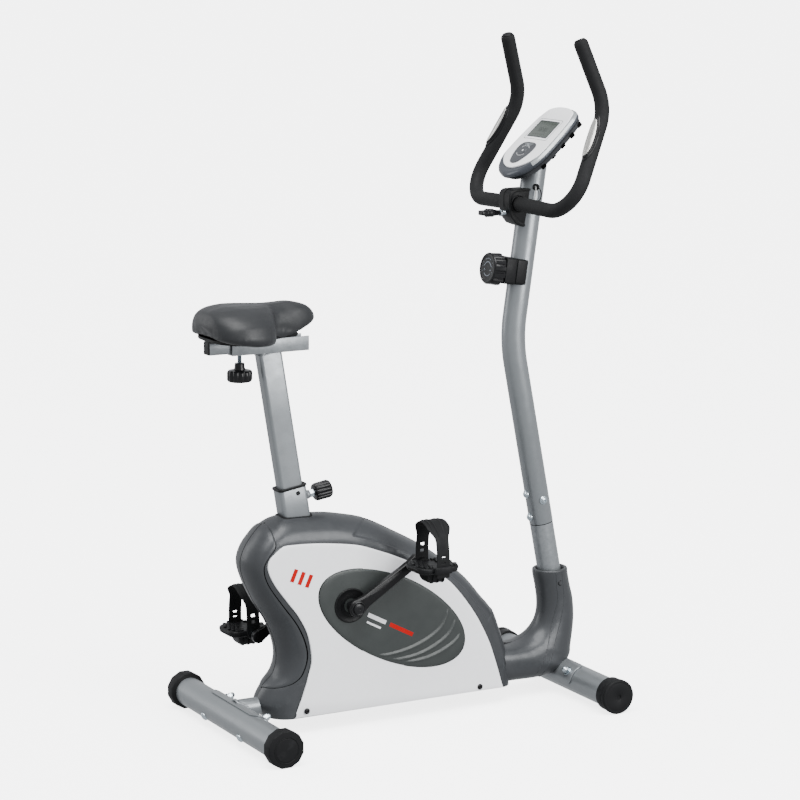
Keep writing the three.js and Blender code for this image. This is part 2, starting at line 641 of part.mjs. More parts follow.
function makeFlywheel() {
  const disc = crossRod(FLYWHEEL, -12, 12, FLYWHEEL_RADIUS, 24);
  const scoop = (low, high) => cut(
    crossRod(FLYWHEEL, low, high, FLYWHEEL_RADIUS - 16, 16),
    crossRod(FLYWHEEL, low - 1, high + 1, 18, 12),
  );
  const axle = crossRod(FLYWHEEL, -22, PULLEY_Y + BELT_WIDTH / 2 + 2, 6, 16);
  const pulley = crossRod(FLYWHEEL, PULLEY_Y - 6, PULLEY_Y + 6, SMALL_PULLEY_RADIUS, 20);
  const body = cut(disc, scoop(-13, -6), scoop(6, 13));
  addPart('flywheel', join(body, axle, pulley), 'castIron');
}

function makeBelt() {
  // The belt's centre line runs on both pulleys and straight between their outer tangents.
  const apart = Math.hypot(FLYWHEEL[0] - CRANK[0], FLYWHEEL[1] - CRANK[1]);
  const heading = Math.atan2(FLYWHEEL[1] - CRANK[1], FLYWHEEL[0] - CRANK[0]);
  const inside = 2 * GAP;
  const thick = 2.4;
  const loop = (extra) => {
    const large = PULLEY_RADIUS + inside + extra;
    const small = SMALL_PULLEY_RADIUS + inside + extra;
    const lean = Math.acos((large - small) / apart);
    const outline = [];
    const arc = (centre, radius, from, to, steps) => {
      for (let step = 0; step <= steps; step += 1) {
        const angle = heading + from + ((to - from) * step) / steps;
        outline.push(flat(centre[0] + radius * Math.cos(angle), centre[1] + radius * Math.sin(angle)));
      }
    };
    arc(CRANK, large, lean, 2 * Math.PI - lean, 18);
    arc(FLYWHEEL, small, -lean, lean, 6);
    return outline;
  };
  const low = PULLEY_Y - BELT_WIDTH / 2;
  const high = PULLEY_Y + BELT_WIDTH / 2;
  const belt = cut(sideSlab(loop(thick), low, high), sideSlab(loop(0), low - 1, high + 1));
  addPart('drive_belt', belt, 'rubber');
}

const MAGNET_PIVOT = [178.5, 155];
const MAGNET_SWING = THREE.MathUtils.degToRad(6);

function makeMagnetBracket() {
  // Shown at the lightest load: the arc is swung away from the rim about its pivot.
  const inner = FLYWHEEL_RADIUS + 2;
  const outer = inner + 7;
  const outline = [];
  for (let step = 0; step <= 10; step += 1) {
    const angle = THREE.MathUtils.degToRad(22 + 88 * (step / 10));
    outline.push(flat(FLYWHEEL[0] + inner * Math.cos(angle), FLYWHEEL[1] + inner * Math.sin(angle)));
  }
  for (let step = 10; step >= 0; step -= 1) {
    const angle = THREE.MathUtils.degToRad(22 + 88 * (step / 10));
    outline.push(flat(FLYWHEEL[0] + outer * Math.cos(angle), FLYWHEEL[1] + outer * Math.sin(angle)));
  }
  const arc = sideSlab(outline, -11, 11);
  const lever = sideSlab(flats([
    [MAGNET_PIVOT[0] - 8, MAGNET_PIVOT[1] - 8], [MAGNET_PIVOT[0] + 8, MAGNET_PIVOT[1] - 8],
    [MAGNET_PIVOT[0] + 6, MAGNET_PIVOT[1] + 16], [FLYWHEEL[0] + 84, FLYWHEEL[1] + 40],
    [FLYWHEEL[0] + 78, FLYWHEEL[1] + 32], [MAGNET_PIVOT[0] - 8, MAGNET_PIVOT[1] + 8],
  ]), -6, 6);
  const bore = crossRod(MAGNET_PIVOT, -30, 30, 4, 12);
  const closed = cut(join(arc, lever), bore);
  const [pivotX, pivotZ] = MAGNET_PIVOT;
  const swung = closed
    .translate([-pivotX, 0, -pivotZ])
    .rotate([0, THREE.MathUtils.radToDeg(MAGNET_SWING), 0])
    .translate([pivotX, 0, pivotZ]);
  addPart('magnet_bracket', swung, 'blackSteel');
}

function makeTensionCable() {
  const route = new THREE.CatmullRomCurve3([
    onUpperPost(CABLE_ENTRY_Z, -23),
    onUpperPost(CABLE_ENTRY_Z, -15),
    onUpperPost(CABLE_ENTRY_Z - 14, 0),
    onUpperPost(CABLE_ENTRY_Z - 50, CABLE_OFFSET - 1),
    onUpperPost(830, CABLE_OFFSET),
    point(POST_BEND[0] + 15, 0, POST_BEND[1]),
    onLowerPost(680, CABLE_OFFSET),
    onLowerPost(560, CABLE_OFFSET),
    onLowerPost(420, CABLE_OFFSET),
    onLowerPost(300, CABLE_OFFSET),
    onLowerPost(200, CABLE_OFFSET - 1),
    onLowerPost(158, 4),
    onLowerPost(CABLE_EXIT_Z + 4, -14),
    point(340, 0, 118),
    point(290, 0, 110),
    point(245, 0, 112),
    point(212, 0, 130),
  ]);
  addPart('tension_cable', sweep(route, circleOutline(2.2, 6), null, 32), 'rubber');
}

// ---------------------------------------------------------------- plastic shells
const REAR_CURVE = [
  [-300, 20], [-319, 60], [-303, 96], [-272, 148], [-293, 228], [-331, 288], [-350, 348], [-335, 394],
  [-303, 430],
];
const TOP_CURVE = [
  [-303, 430], [-262, 444], [-180, 441], [-70, 418], [58, 350], [157, 274], [221, 199], [252, 120],
  [260, 20],
];
const SHELL_CENTRE = [-30, 200];

// The side outline of the whole shell, drawn in towards its middle by a factor.
function shellOutline(factor) {
  const rear = splinePoints(REAR_CURVE, 15);
  const top = splinePoints(TOP_CURVE, 15);
  const outline = [...rear.slice(0, -1), ...top].reverse();
  return outline.map((corner) => flat(
    SHELL_CENTRE[0] + (corner.x - SHELL_CENTRE[0]) * factor,
    SHELL_CENTRE[1] + (corner.y - SHELL_CENTRE[1]) * factor,
  ));
}

// A body that is widest in the middle plane and draws in to its flat sides.
function roundedBody(halfWidth, scale, rounding) {
  const rings = [-90, -50, 0, 50, 90].map((degrees) => {
    const angle = THREE.MathUtils.degToRad(degrees);
    const factor = scale * (1 - rounding * (1 - Math.cos(angle)));
    return { y: halfWidth * Math.sin(angle), outline: shellOutline(factor) };
  });
  return loft(rings);
}

// A closed skin through anticlockwise outlines of equal point count at rising Y.
function loft(rings) {
  const count = rings[0].outline.length;
  const positions = [];
  for (const { y, outline } of rings) {
    for (const corner of outline) positions.push(corner.x, y, corner.y);
  }
  const index = [];
  for (let ring = 0; ring < rings.length - 1; ring += 1) {
    for (let step = 0; step < count; step += 1) {
      const next = (step + 1) % count;
      const a = ring * count + step;
      const b = ring * count + next;
      index.push(a, a + count, b, b, a + count, b + count);
    }
  }
  const lastStart = (rings.length - 1) * count;
  for (const [a, b, c] of THREE.ShapeUtils.triangulateShape(rings[0].outline, [])) {
    index.push(a, b, c);
    index.push(lastStart + a, lastStart + c, lastStart + b);
  }
  const geometry = new THREE.BufferGeometry();
  geometry.setAttribute('position', new THREE.Float32BufferAttribute(positions, 3));
  geometry.setIndex(index);
  return solid(geometry);
}

// The rear trim's region in side view; grow moves its front edge forward.
function trimRegion(grow) {
  const edge = splinePoints([
    [-283, 426], [-291, 396], [-318, 362], [-312, 312], [-273, 251], [-240, 200], [-233, 150], [-250, 112],
    [-296, 98],
  ], 20).map((corner) => flat(corner.x + grow, corner.y));
  const bottom = 98 - grow;
  const low = [flat(-400, bottom), flat(-296 + grow, bottom)];
  const high = [flat(-283, 470), flat(-400, 470)];
  return sideSlab([...low, ...edge.reverse(), ...high], -90, 90);
}

function makeShells() {
  const above = (z) => block([-BIG, -BIG, z], [BIG, BIG, BIG]);
  const whole = common(roundedBody(SHELL_HALF_WIDTH, 1, 0.1), above(SHELL_BOTTOM));
  const cavity = common(
    roundedBody(SHELL_HALF_WIDTH - SHELL_WALL, 0.975, 0.1),
    above(SHELL_BOTTOM + SHELL_WALL),
  );
  const skin = cut(whole, cavity);
  const openings = join(
    seatBar(SEAT_TUBE, 400, 480, 2 * GAP),
    alongBar(-BIG, -200, BEAM_RADIUS + 2 * GAP),
    alongBar(150, BIG, BEAM_RADIUS + 2 * GAP),
    crossRod(CRANK, -80, 80, 19),
    rod(point(200, 0, 112), point(300, 0, 112), 9, 12),
  );
  const body = cut(skin, openings, trimRegion(GAP));
  for (const [side, sign] of Object.entries(SIDES)) {
    const near = sign > 0 ? GAP / 2 : -BIG;
    const far = sign > 0 ? BIG : -GAP / 2;
    addPart(`shell_${side}`, common(body, block([-BIG, near, 0], [BIG, far, BIG])), 'greyPlastic');
  }
  addPart('rear_trim', common(skin, trimRegion(0)), 'greyPlastic');
}

function makeSidePanels() {
  const rearEdge = splinePoints([
    [-263, 34.5], [-225, 142], [-251, 244], [-302, 314], [-318, 349], [-309, 376], [-286, 393],
  ], 14);
  const frontEdge = splinePoints([
    [-286, 393], [-181, 388], [-66, 360], [94, 279], [184, 151], [224, 34.5],
  ], 14);
  const outline = [...rearEdge.slice(0, -1), ...frontEdge];
  const low = -SHELL_HALF_WIDTH - GAP - PANEL_THICK;
  const panel = cut(
    sideSlab(outline, low, -SHELL_HALF_WIDTH - GAP),
    crossRod(CRANK, -BIG, BIG, 22),
  );
  for (const [side, sign] of Object.entries(SIDES)) {
    addPart(`side_panel_${side}`, onSide(panel, sign), 'whitePlastic');
  }
}

function makeBoot() {
  const back = splinePoints([[262.8, 112], [295, 116], [330, 142], [345, 190], [335.5, 243]], 12);
  const front = splinePoints([[410, 261], [426, 185], [425, 130], [416, 84]], 8);
  const outline = [flat(262.8, SHELL_BOTTOM), ...back, ...front, flat(416, 60), flat(350, SHELL_BOTTOM)];
  const across = flats([
    [-52, SHELL_BOTTOM - 2], [52, SHELL_BOTTOM - 2], [47, 90], [38, 160], [37, 275], [-37, 275], [-38, 160],
    [-47, 90],
  ]);
  const frontView = (inset) => {
    const outlineIn = across.map((corner) => flat(corner.x - Math.sign(corner.x) * inset, corner.y));
    const geometry = new THREE.ExtrudeGeometry(shapeOf(outlineIn), { depth: 300, bevelEnabled: false });
    geometry.rotateX(Math.PI / 2);
    geometry.rotateZ(Math.PI / 2);
    geometry.translate(200, 0, 0);
    return solid(geometry);
  };
  const whole = common(sideSlab(outline, -60, 60), frontView(0));
  const middleX = onLowerPost(249).x - 10;
  const inner = outline.map((corner) => {
    const inward = middleX - corner.x;
    const step = Math.sign(inward) * Math.min(SHELL_WALL, Math.abs(inward));
    const height = Math.max(Math.min(corner.y, 240), SHELL_BOTTOM + SHELL_WALL);
    return flat(corner.x + step, height);
  });
  const cavity = common(sideSlab(inner, -60, 60), frontView(SHELL_WALL));
  const lowered = block([-BIG, -BIG, SHELL_BOTTOM + SHELL_WALL], [BIG, BIG, 238]);
  const rooms = join(
    crossRod([FRONT_X, AXIS_HEIGHT], -BIG, BIG, TUBE_RADIUS + 3 + 3 * GAP, 20),
    alongBar(200, FRONT_X, BEAM_RADIUS + 2 * GAP),
    rod(onLowerPost(150), onLowerPost(300), POST_RADIUS, 20),
    rod(point(230, 0, 110), point(300, 0, 110), 9, 12),
  );
  const body = cut(whole, common(cavity, lowered), rooms, boltRooms());
  for (const [side, sign] of Object.entries(SIDES)) {
    const near = sign > 0 ? GAP / 2 : -BIG;
    const far = sign > 0 ? BIG : -GAP / 2;
    addPart(`boot_${side}`, common(body, block([-BIG, near, 0], [BIG, far, BIG])), 'greyPlastic');
  }
}

// Room around the front bolts' nuts.
function boltRooms() {
  const rooms = Object.values(SIDES).map((sign) => {
    const y = sign * STABILISER_BOLT_Y;
    const inner = alongBolt(FRONT_X, FRONT_BOLT_ANGLE, 20, y);
    return rod(inner, alongBolt(FRONT_X, FRONT_BOLT_ANGLE, 70, y), 12, 12);
  });
  return join(...rooms);
}

// ---------------------------------------------------------------- saddle and its adjusters
function makeSeatPost() {
  const post = cut(
    seatBar(SEAT_POST, SEAT_POST_FOOT, RAIL_HEIGHT + 12),
    seatBar(SEAT_POST, SEAT_POST_FOOT - 20, RAIL_HEIGHT - 10, -1.8),
  );
  const holes = [0, 1, 2, 3, 4, 5, 6, 7].map((step) => {
    const base = onSeatAxis(SEAT_PIN_HEIGHT - 50 + 25 * step);
    const forward = point(Math.cos(SEAT_LEAN), 0, Math.sin(SEAT_LEAN));
    return rod(base.clone().addScaledVector(forward, 10), base.clone().addScaledVector(forward, 40), 5, 8);
  });
  const channel = cut(
    block([-372, -19, RAIL_HEIGHT], [-204, 19, 806]),
    block([-373, -16.5, RAIL_HEIGHT + 2.5], [-203, 16.5, 807]),
    planSlab(slotOutline(SADDLE_KNOB_X - 19, SADDLE_KNOB_X + 19, 5.5), RAIL_HEIGHT - 1, RAIL_HEIGHT + 4),
  );
  const underChannel = block([-BIG, -BIG, -BIG], [BIG, BIG, RAIL_HEIGHT + 1]);
  addPart('seat_post', join(common(cut(post, ...holes), underChannel), channel), 'silverPaint');
}

// A plan-view slot with round ends.
function slotOutline(xLow, xHigh, radius) {
  const outline = [];
  for (const [x, start] of [[xHigh - radius, -90], [xLow + radius, 90]]) {
    for (const turn of [0, 60, 120, 180]) {
      const angle = THREE.MathUtils.degToRad(start + turn);
      outline.push(flat(x + radius * Math.cos(angle), radius * Math.sin(angle)));
    }
  }
  return outline;
}

function makeSaddle() {
  const barLow = RAIL_HEIGHT + 2.5 + GAP;
  const bar = block([-420, -16.2, barLow], [-225, 16.2, 795]);
  const stem = block([-398, -12, 794], [-232, 12, 808]);
  const plate = block([-398, -24, 806 + GAP], [-232, 24, 809.4]);
  const nutBore = rod(point(SADDLE_KNOB_X, 0, barLow - 1), point(SADDLE_KNOB_X, 0, 790), BOLT_BORE, 6);
  addPart('saddle_rail', cut(join(bar, stem, plate), nutBore), 'blackSteel');

  const half = [
    [-179, 0], [-184, 16], [-200, 25], [-240, 33], [-285, 50], [-325, 84], [-355, 101], [-390, 104],
    [-417, 88], [-429, 45], [-430, 0],
  ];
  const leftSide = splinePoints(half, 16);
  const rightSide = leftSide.slice(1, -1).reverse().map((corner) => flat(corner.x, -corner.y));
  const pad = planSlab([...leftSide, ...rightSide], SADDLE_BOTTOM, SADDLE_TOP, 14);
  const nose = rod(point(-160, -BIG, SADDLE_BOTTOM - 4), point(-160, BIG, SADDLE_BOTTOM - 4), 36, 16);
  const room = block([-440, -26, SADDLE_BOTTOM - 5], [-182, 26, 809.8]);
  addPart('saddle', cut(pad, room, nose), 'vinyl');

  const knobAt = (z) => point(SADDLE_KNOB_X, 0, z);
  const knob = turned(knobAt(722), knobAt(723), [
    [0, 0], [0, 22], [3, 25.5], [20, 25.5], [23, 22], [24, 9.5], [35, 9.5], [35, 4], [66, 4], [66, 0],
  ], 16);
  addPart('saddle_knob', knob, 'blackPlastic');
}

function makeHeightKnob() {
  const knob = turned(seatPinPoint(0), seatPinPoint(1), [
    [25 + 2 * GAP, 0], [25 + 2 * GAP, 5], [39.5, 5], [39.5, 7.5], [51, 7.5], [51, 16], [54, 18.5],
    [85, 18.5], [88, 16], [88, 0],
  ], 16);
  addPart('height_knob', knob, 'blackPlastic');
}

// ---------------------------------------------------------------- handlebar and its clamp
// One half of the handlebar from the middle to the tip, as corners with bend radii.
function barCorners(sign) {
  return BAR_BENDS.map(([x, y, z, radius]) => ({ at: point(x, sign * y, z), radius }));
}

function makeHandlebar() {
  const sides = 8;
  const path = bentPath([...barCorners(-1).reverse(), ...barCorners(1)], 3);
  const bar = sweep(path, circleOutline(BAR_RADIUS, sides), circleOutline(BAR_RADIUS - 1.6, sides));
  addPart('handlebar', bar, 'blackSteel');

  const foam = sweep(path, circleOutline(GRIP_RADIUS, sides));
  const barRoom = sweep(path, circleOutline(BAR_RADIUS + 2 * GAP, sides));
  const corners = barCorners(-1);
  const tip = corners[corners.length - 1].at;
  const outward = tip.clone().sub(corners[corners.length - 2].at).normalize();
  const pastTip = (distance) => tip.clone().addScaledVector(outward, distance);
  const plug = rod(pastTip(-1), pastTip(5), GRIP_RADIUS, 16);
  const plugRoom = rod(pastTip(-2), pastTip(GAP), BAR_RADIUS + 2 * GAP, 16);
  const half = common(foam, block([-BIG, -BIG, 0], [BIG, -CLAMP_HALF_WIDTH - GAP, 2 * BIG]));
  const grip = cut(join(half, plug), barRoom, plugRoom);
  for (const [side, sign] of Object.entries(SIDES)) addPart(`grip_${side}`, onSide(grip, sign), 'foam');
}

// A place on the clamp screw's axis.
function onKnobAxis(x) {
  return point(x, 0, 1027.4 - (x - 197) * 2.3 / 58);
}

function makeClamp() {
  const barBore = crossRod(BAR, -BIG, BIG, BAR_RADIUS + 2 * GAP, 24);
  const postBore = rod(onUpperPost(950), onUpperPost(1110), POST_RADIUS + 1, 12);
  const jaw = flats([[258, 1034], [258, 1057], [264, 1064], [303, 1064], [297, 1014], [268, 1014]]);
  const screwBore = rod(onKnobAxis(200), onKnobAxis(283), 5.4, 12);
  const clamp = cut(sideSlab(jaw, -12, 12), barBore, postBore, screwBore);
  addPart('handlebar_clamp', largestPiece(clamp), 'silverPaint');

  const outline = flats([
    [253.5, 1043], [253.5, 1062], [258, 1069.7], [264, 1073.4], [305.3, 1074.4], [304.4, 1058.8],
    [298, 1024.4], [292.5, 997], [287, 996.3], [270.7, 1002.5], [258, 1018],
  ]);
  const clampRoom = sideSlab(jaw.map((corner) => grownFrom(corner, [280, 1038], GAP + 0.2)), -12.4, 12.4);
  const coverBlock = sideSlab(outline, -CLAMP_HALF_WIDTH, CLAMP_HALF_WIDTH);
  const cover = cut(coverBlock, barBore, postBore, screwBore, clampRoom);
  addPart('clamp_cover', largestPiece(cover), 'blackPlastic');

  const screw = rod(onKnobAxis(238), onKnobAxis(280), 4, 12);
  const hub = rod(onKnobAxis(211), onKnobAxis(243), 9, 14);
  const wing = block([197, -9, 1021.5], [212, 9, 1032.5]);
  addPart('clamp_knob', join(screw, hub, wing), 'blackPlastic');
}

function grownFrom(corner, centre, amount) {
  const away = flat(corner.x - centre[0], corner.y - centre[1]);
  return corner.clone().addScaledVector(away.normalize(), amount * 1.5);
}

function largestPiece(body) {
  const pieces = body.decompose();
  pieces.sort((first, second) => second.volume() - first.volume());
  return pieces[0];
}

function makeResistanceDial() {
  const [faceX, faceZ] = [213.8, 912.8];
  const inward = point(postUpperDirection.y, 0, -postUpperDirection.x);
  const at = (distance, side = 0, rise = 0) => point(
    faceX + distance * inward.x - rise * inward.z,
    side,
    faceZ + distance * inward.z + rise * inward.x,
  );
  const section = [[29, -30], [29, 26], [92, 26], [92, -30]].map(([distance, rise]) => {
    const place = at(distance, 0, rise);
    return flat(place.x, place.z);
  });
  const postBore = rod(onUpperPost(820), onUpperPost(1000), POST_RADIUS + 1, 12);
  const spindleBore = rod(at(20), at(70), 6, 12);
  const housing = cut(sideSlab(section, -28, 28, 3), postBore, spindleBore);
  addPart('resistance_housing', largestPiece(housing), 'blackPlastic');
  const knob = turned(at(0), at(1), [
    [0, 0], [0, 31.5], [3, 33], [28, 34.5], [28, 5], [45, 5], [45, 0],
  ], 20);
  addPart('resistance_knob', knob, 'blackPlastic');
}

// ---------------------------------------------------------------- console
// Moves a body from the console's own frame, whose +Z is the face's outward normal, into place.
function inConsole(body) {
  const degrees = THREE.MathUtils.radToDeg(CONSOLE_SLOPE);
  return body.rotate([0, -degrees, 0]).translate([CONSOLE_CENTRE[0], 0, CONSOLE_CENTRE[1]]);
}

// The console's outline, drawn in by a margin: a shield that narrows to a round lower lip.
function consoleOutline(margin) {
  const half = [
    [70, 0], [68, 30], [58, 52], [30, 67], [-30, 73], [-75, 72], [-105, 58], [-122, 34], [-129, 0],
  ];
  const side = splinePoints(half, 14);
  const other = side.slice(1, -1).reverse().map((corner) => flat(corner.x, -corner.y));
  return [...side, ...other].map((corner) => {
    const away = flat(corner.x + 25, corner.y);
    return corner.clone().addScaledVector(away.normalize(), -margin);
  });
}

const BUTTON_AT = [-63.7, 0];

function makeConsole() {
  const housing = planSlab(consoleOutline(0), -CONSOLE_DEPTH, -5, 6);
  const button = (low, high, grow) => {
    const geometry = new THREE.CylinderGeometry(11 + grow, 11 + grow, high - low, 24);
    geometry.rotateX(Math.PI / 2);
    geometry.translate(BUTTON_AT[0], BUTTON_AT[1], (low + high) / 2);
    return solid(geometry);
  };
  addPart('console_housing', inConsole(housing), 'greyPlastic');
  const window = block([-20.5, -35.3, -BIG], [21.3, 35.3, BIG]);
  const face = cut(planSlab(consoleOutline(9), -5 + GAP, 0), window, button(-BIG, BIG, GAP));
  addPart('console_face', inConsole(face), 'whitePlastic');
  addPart('console_lens', inConsole(block([-20.2, -35, -4.5], [21, 35, -1])), 'display');
  addPart('console_button', inConsole(button(-3.2, 1.6, 0)), 'greyPlastic');
}

makeStabilisers();
makeMainBeam();
makeSeatTube();
makeSeatSleeve();
makeFlywheelBracket();
makePosts();
makeFasteners();
makeFloorCaps();
makeCrank();
makePedals();
makeFlywheel();
makeBelt();
makeMagnetBracket();
makeTensionCable();
makeShells();
makeSidePanels();
makeBoot();
makeSeatPost();
makeSaddle();
makeHeightKnob();
makeHandlebar();
makeClamp();
makeResistanceDial();
makeConsole();

export default bike;
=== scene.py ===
"""Looks of the upright exercise bike. Lengths are in millimetres until a mesh is made."""

from math import atan2, ceil, cos, exp, hypot, pi, radians, sin, sqrt

import bmesh
import bpy
from mathutils import Matrix, Vector


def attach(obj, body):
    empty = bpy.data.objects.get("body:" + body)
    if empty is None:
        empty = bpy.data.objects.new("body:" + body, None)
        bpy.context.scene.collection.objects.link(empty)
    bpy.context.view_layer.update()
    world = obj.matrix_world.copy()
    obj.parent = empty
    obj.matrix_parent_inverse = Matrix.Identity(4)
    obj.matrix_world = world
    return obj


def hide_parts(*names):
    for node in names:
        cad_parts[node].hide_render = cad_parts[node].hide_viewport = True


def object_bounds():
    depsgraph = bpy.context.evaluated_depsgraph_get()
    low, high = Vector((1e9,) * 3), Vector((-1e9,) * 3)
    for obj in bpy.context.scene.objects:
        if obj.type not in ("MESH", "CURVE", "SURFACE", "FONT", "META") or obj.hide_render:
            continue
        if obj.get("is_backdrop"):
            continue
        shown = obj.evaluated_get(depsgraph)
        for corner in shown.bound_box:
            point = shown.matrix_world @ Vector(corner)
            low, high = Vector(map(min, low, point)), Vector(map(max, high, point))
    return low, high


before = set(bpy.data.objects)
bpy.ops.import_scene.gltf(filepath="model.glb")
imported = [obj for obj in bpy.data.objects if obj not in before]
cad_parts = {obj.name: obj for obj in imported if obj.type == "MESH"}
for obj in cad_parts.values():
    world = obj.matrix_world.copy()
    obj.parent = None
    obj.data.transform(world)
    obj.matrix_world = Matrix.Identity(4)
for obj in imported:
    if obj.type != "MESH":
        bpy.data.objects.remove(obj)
cad_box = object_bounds()
SIDES = {"left": 1, "right": -1}
BACKDROP = 5.2
BODY = "frame"


# ---------------------------------------------------------------- camera, lights and floor
def make_camera():
    """The view of the bike, set first so that every picture is framed alike."""
    data = bpy.data.cameras.new("photo_camera")
    data.lens = 123.69
    data.sensor_width = 36
    camera = bpy.data.objects.new("photo_camera", data)
    camera.location = (-2.6051, -4.8528, 1.6438)
    back = Vector((-0.4671, -0.8664, 0.1766))
    camera.rotation_euler = (-back).to_track_quat("-Z", "Y").to_euler()
    bpy.context.scene.collection.objects.link(camera)
    bpy.context.scene.camera = camera


def area_light(name, place, aim, size, power, colour=(1, 1, 1)):
    """A soft rectangular lamp that looks at a point."""
    data = bpy.data.lights.new(name, "AREA")
    data.shape = "RECTANGLE"
    data.size, data.size_y = size
    data.energy = power
    data.color = colour
    light = bpy.data.objects.new(name, data)
    light.location = place
    light.rotation_euler = (Vector(aim) - Vector(place)).to_track_quat("-Z", "Y").to_euler()
    bpy.context.scene.collection.objects.link(light)


def sun(name, towards, strength, spread_degrees):
    """A wide overhead light, given by the direction that it comes from."""
    data = bpy.data.lights.new(name, "SUN")
    data.energy = strength
    data.angle = radians(spread_degrees)
    light = bpy.data.objects.new(name, data)
    light.rotation_euler = (-Vector(towards)).to_track_quat("-Z", "Y").to_euler()
    bpy.context.scene.collection.objects.link(light)


def make_world():
    """A dim room to be lit by, seen as a bright backdrop."""
    world = bpy.data.worlds.new("studio")
    world.use_nodes = True
    tree = world.node_tree
    room = tree.nodes["Background"]
    room.inputs["Color"].default_value = (0.95, 0.97, 1, 1)
    room.inputs["Strength"].default_value = 0.85
    backdrop = tree.nodes.new("ShaderNodeBackground")
    backdrop.inputs["Color"].default_value = (1, 1, 1, 1)
    backdrop.inputs["Strength"].default_value = BACKDROP
    mix = tree.nodes.new("ShaderNodeMixShader")
    wire(tree, tree.nodes.new("ShaderNodeLightPath"), "Is Camera Ray", mix, 0)
    wire(tree, room, 0, mix, 1)
    wire(tree, backdrop, 0, mix, 2)
    wire(tree, mix, 0, tree.nodes["World Output"], "Surface")
    bpy.context.scene.world = world


def make_studio():
    """The lamps and the plain pale floor."""
    make_world()
    sun("overhead", (-0.2, -0.3, 1), 5.4, 50)
    area_light("key", (1.6, -3.9, 1.9), (0, 0, 0.6), (2.6, 2.8), 235)
    area_light("left_strip", (-2.9, 2.9, 1.8), (0, 0, 0.7), (1.4, 3.0), 42)
    mesh = bpy.data.meshes.new("floor")
    reach = 60
    mesh.from_pydata([(-reach, -reach, 0), (reach, -reach, 0), (reach, reach, 0), (-reach, reach, 0)], [],
                     [(0, 1, 2, 3)])
    floor = bpy.data.objects.new("floor", mesh)
    bpy.context.scene.collection.objects.link(floor)
    floor.data.materials.append(FLOOR)
    floor.visible_diffuse = False
    floor.visible_glossy = False
    floor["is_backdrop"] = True


# ---------------------------------------------------------------- materials
def wire(tree, source, output, target, socket):
    """Join an output of one node to a socket of another."""
    tree.links.new(source.outputs[output], target.inputs[socket])


def noise(tree, size, detail=2.0, stretch=None):
    """Three-dimensional noise whose blobs are about size metres across, in the piece's own frame."""
    coordinates = tree.nodes.new("ShaderNodeTexCoord")
    source, output = coordinates, "Object"
    if stretch:
        mapping = tree.nodes.new("ShaderNodeMapping")
        mapping.inputs["Scale"].default_value = stretch
        wire(tree, coordinates, "Object", mapping, "Vector")
        source, output = mapping, "Vector"
    texture = tree.nodes.new("ShaderNodeTexNoise")
    texture.inputs["Scale"].default_value = 1 / size
    texture.inputs["Detail"].default_value = detail
    wire(tree, source, output, texture, "Vector")
    return texture


def spread(tree, source, low, high, output="Fac", near=0.3, far=0.7):
    """Maps a texture's middle range onto low to high."""
    node = tree.nodes.new("ShaderNodeMapRange")
    node.inputs["From Min"].default_value = near
    node.inputs["From Max"].default_value = far
    node.inputs["To Min"].default_value = low
    node.inputs["To Max"].default_value = high
    wire(tree, source, output, node, "Value")
    return node


def blend_colours(tree, factor, output, low, high):
    """A colour between two others; each may be a colour or a node that gives one."""
    node = tree.nodes.new("ShaderNodeMix")
    node.data_type = "RGBA"
    wire(tree, factor, output, node, 0)
    for socket, value in ((6, low), (7, high)):
        if isinstance(value, bpy.types.Node):
            wire(tree, value, 2 if value.bl_idname == "ShaderNodeMix" else 0, node, socket)
        else:
            node.inputs[socket].default_value = (*value, 1)
    return node


def bump(tree, height, output, distance, strength=1.0, before=None):
    """A bump node that turns a height into relief."""
    node = tree.nodes.new("ShaderNodeBump")
    node.inputs["Distance"].default_value = distance
    node.inputs["Strength"].default_value = strength
    wire(tree, height, output, node, "Height")
    if before:
        wire(tree, before, "Normal", node, "Normal")
    return node


def shade(colour, factor):
    """The same colour made lighter or darker."""
    return tuple(min(1.0, part * factor) for part in colour)


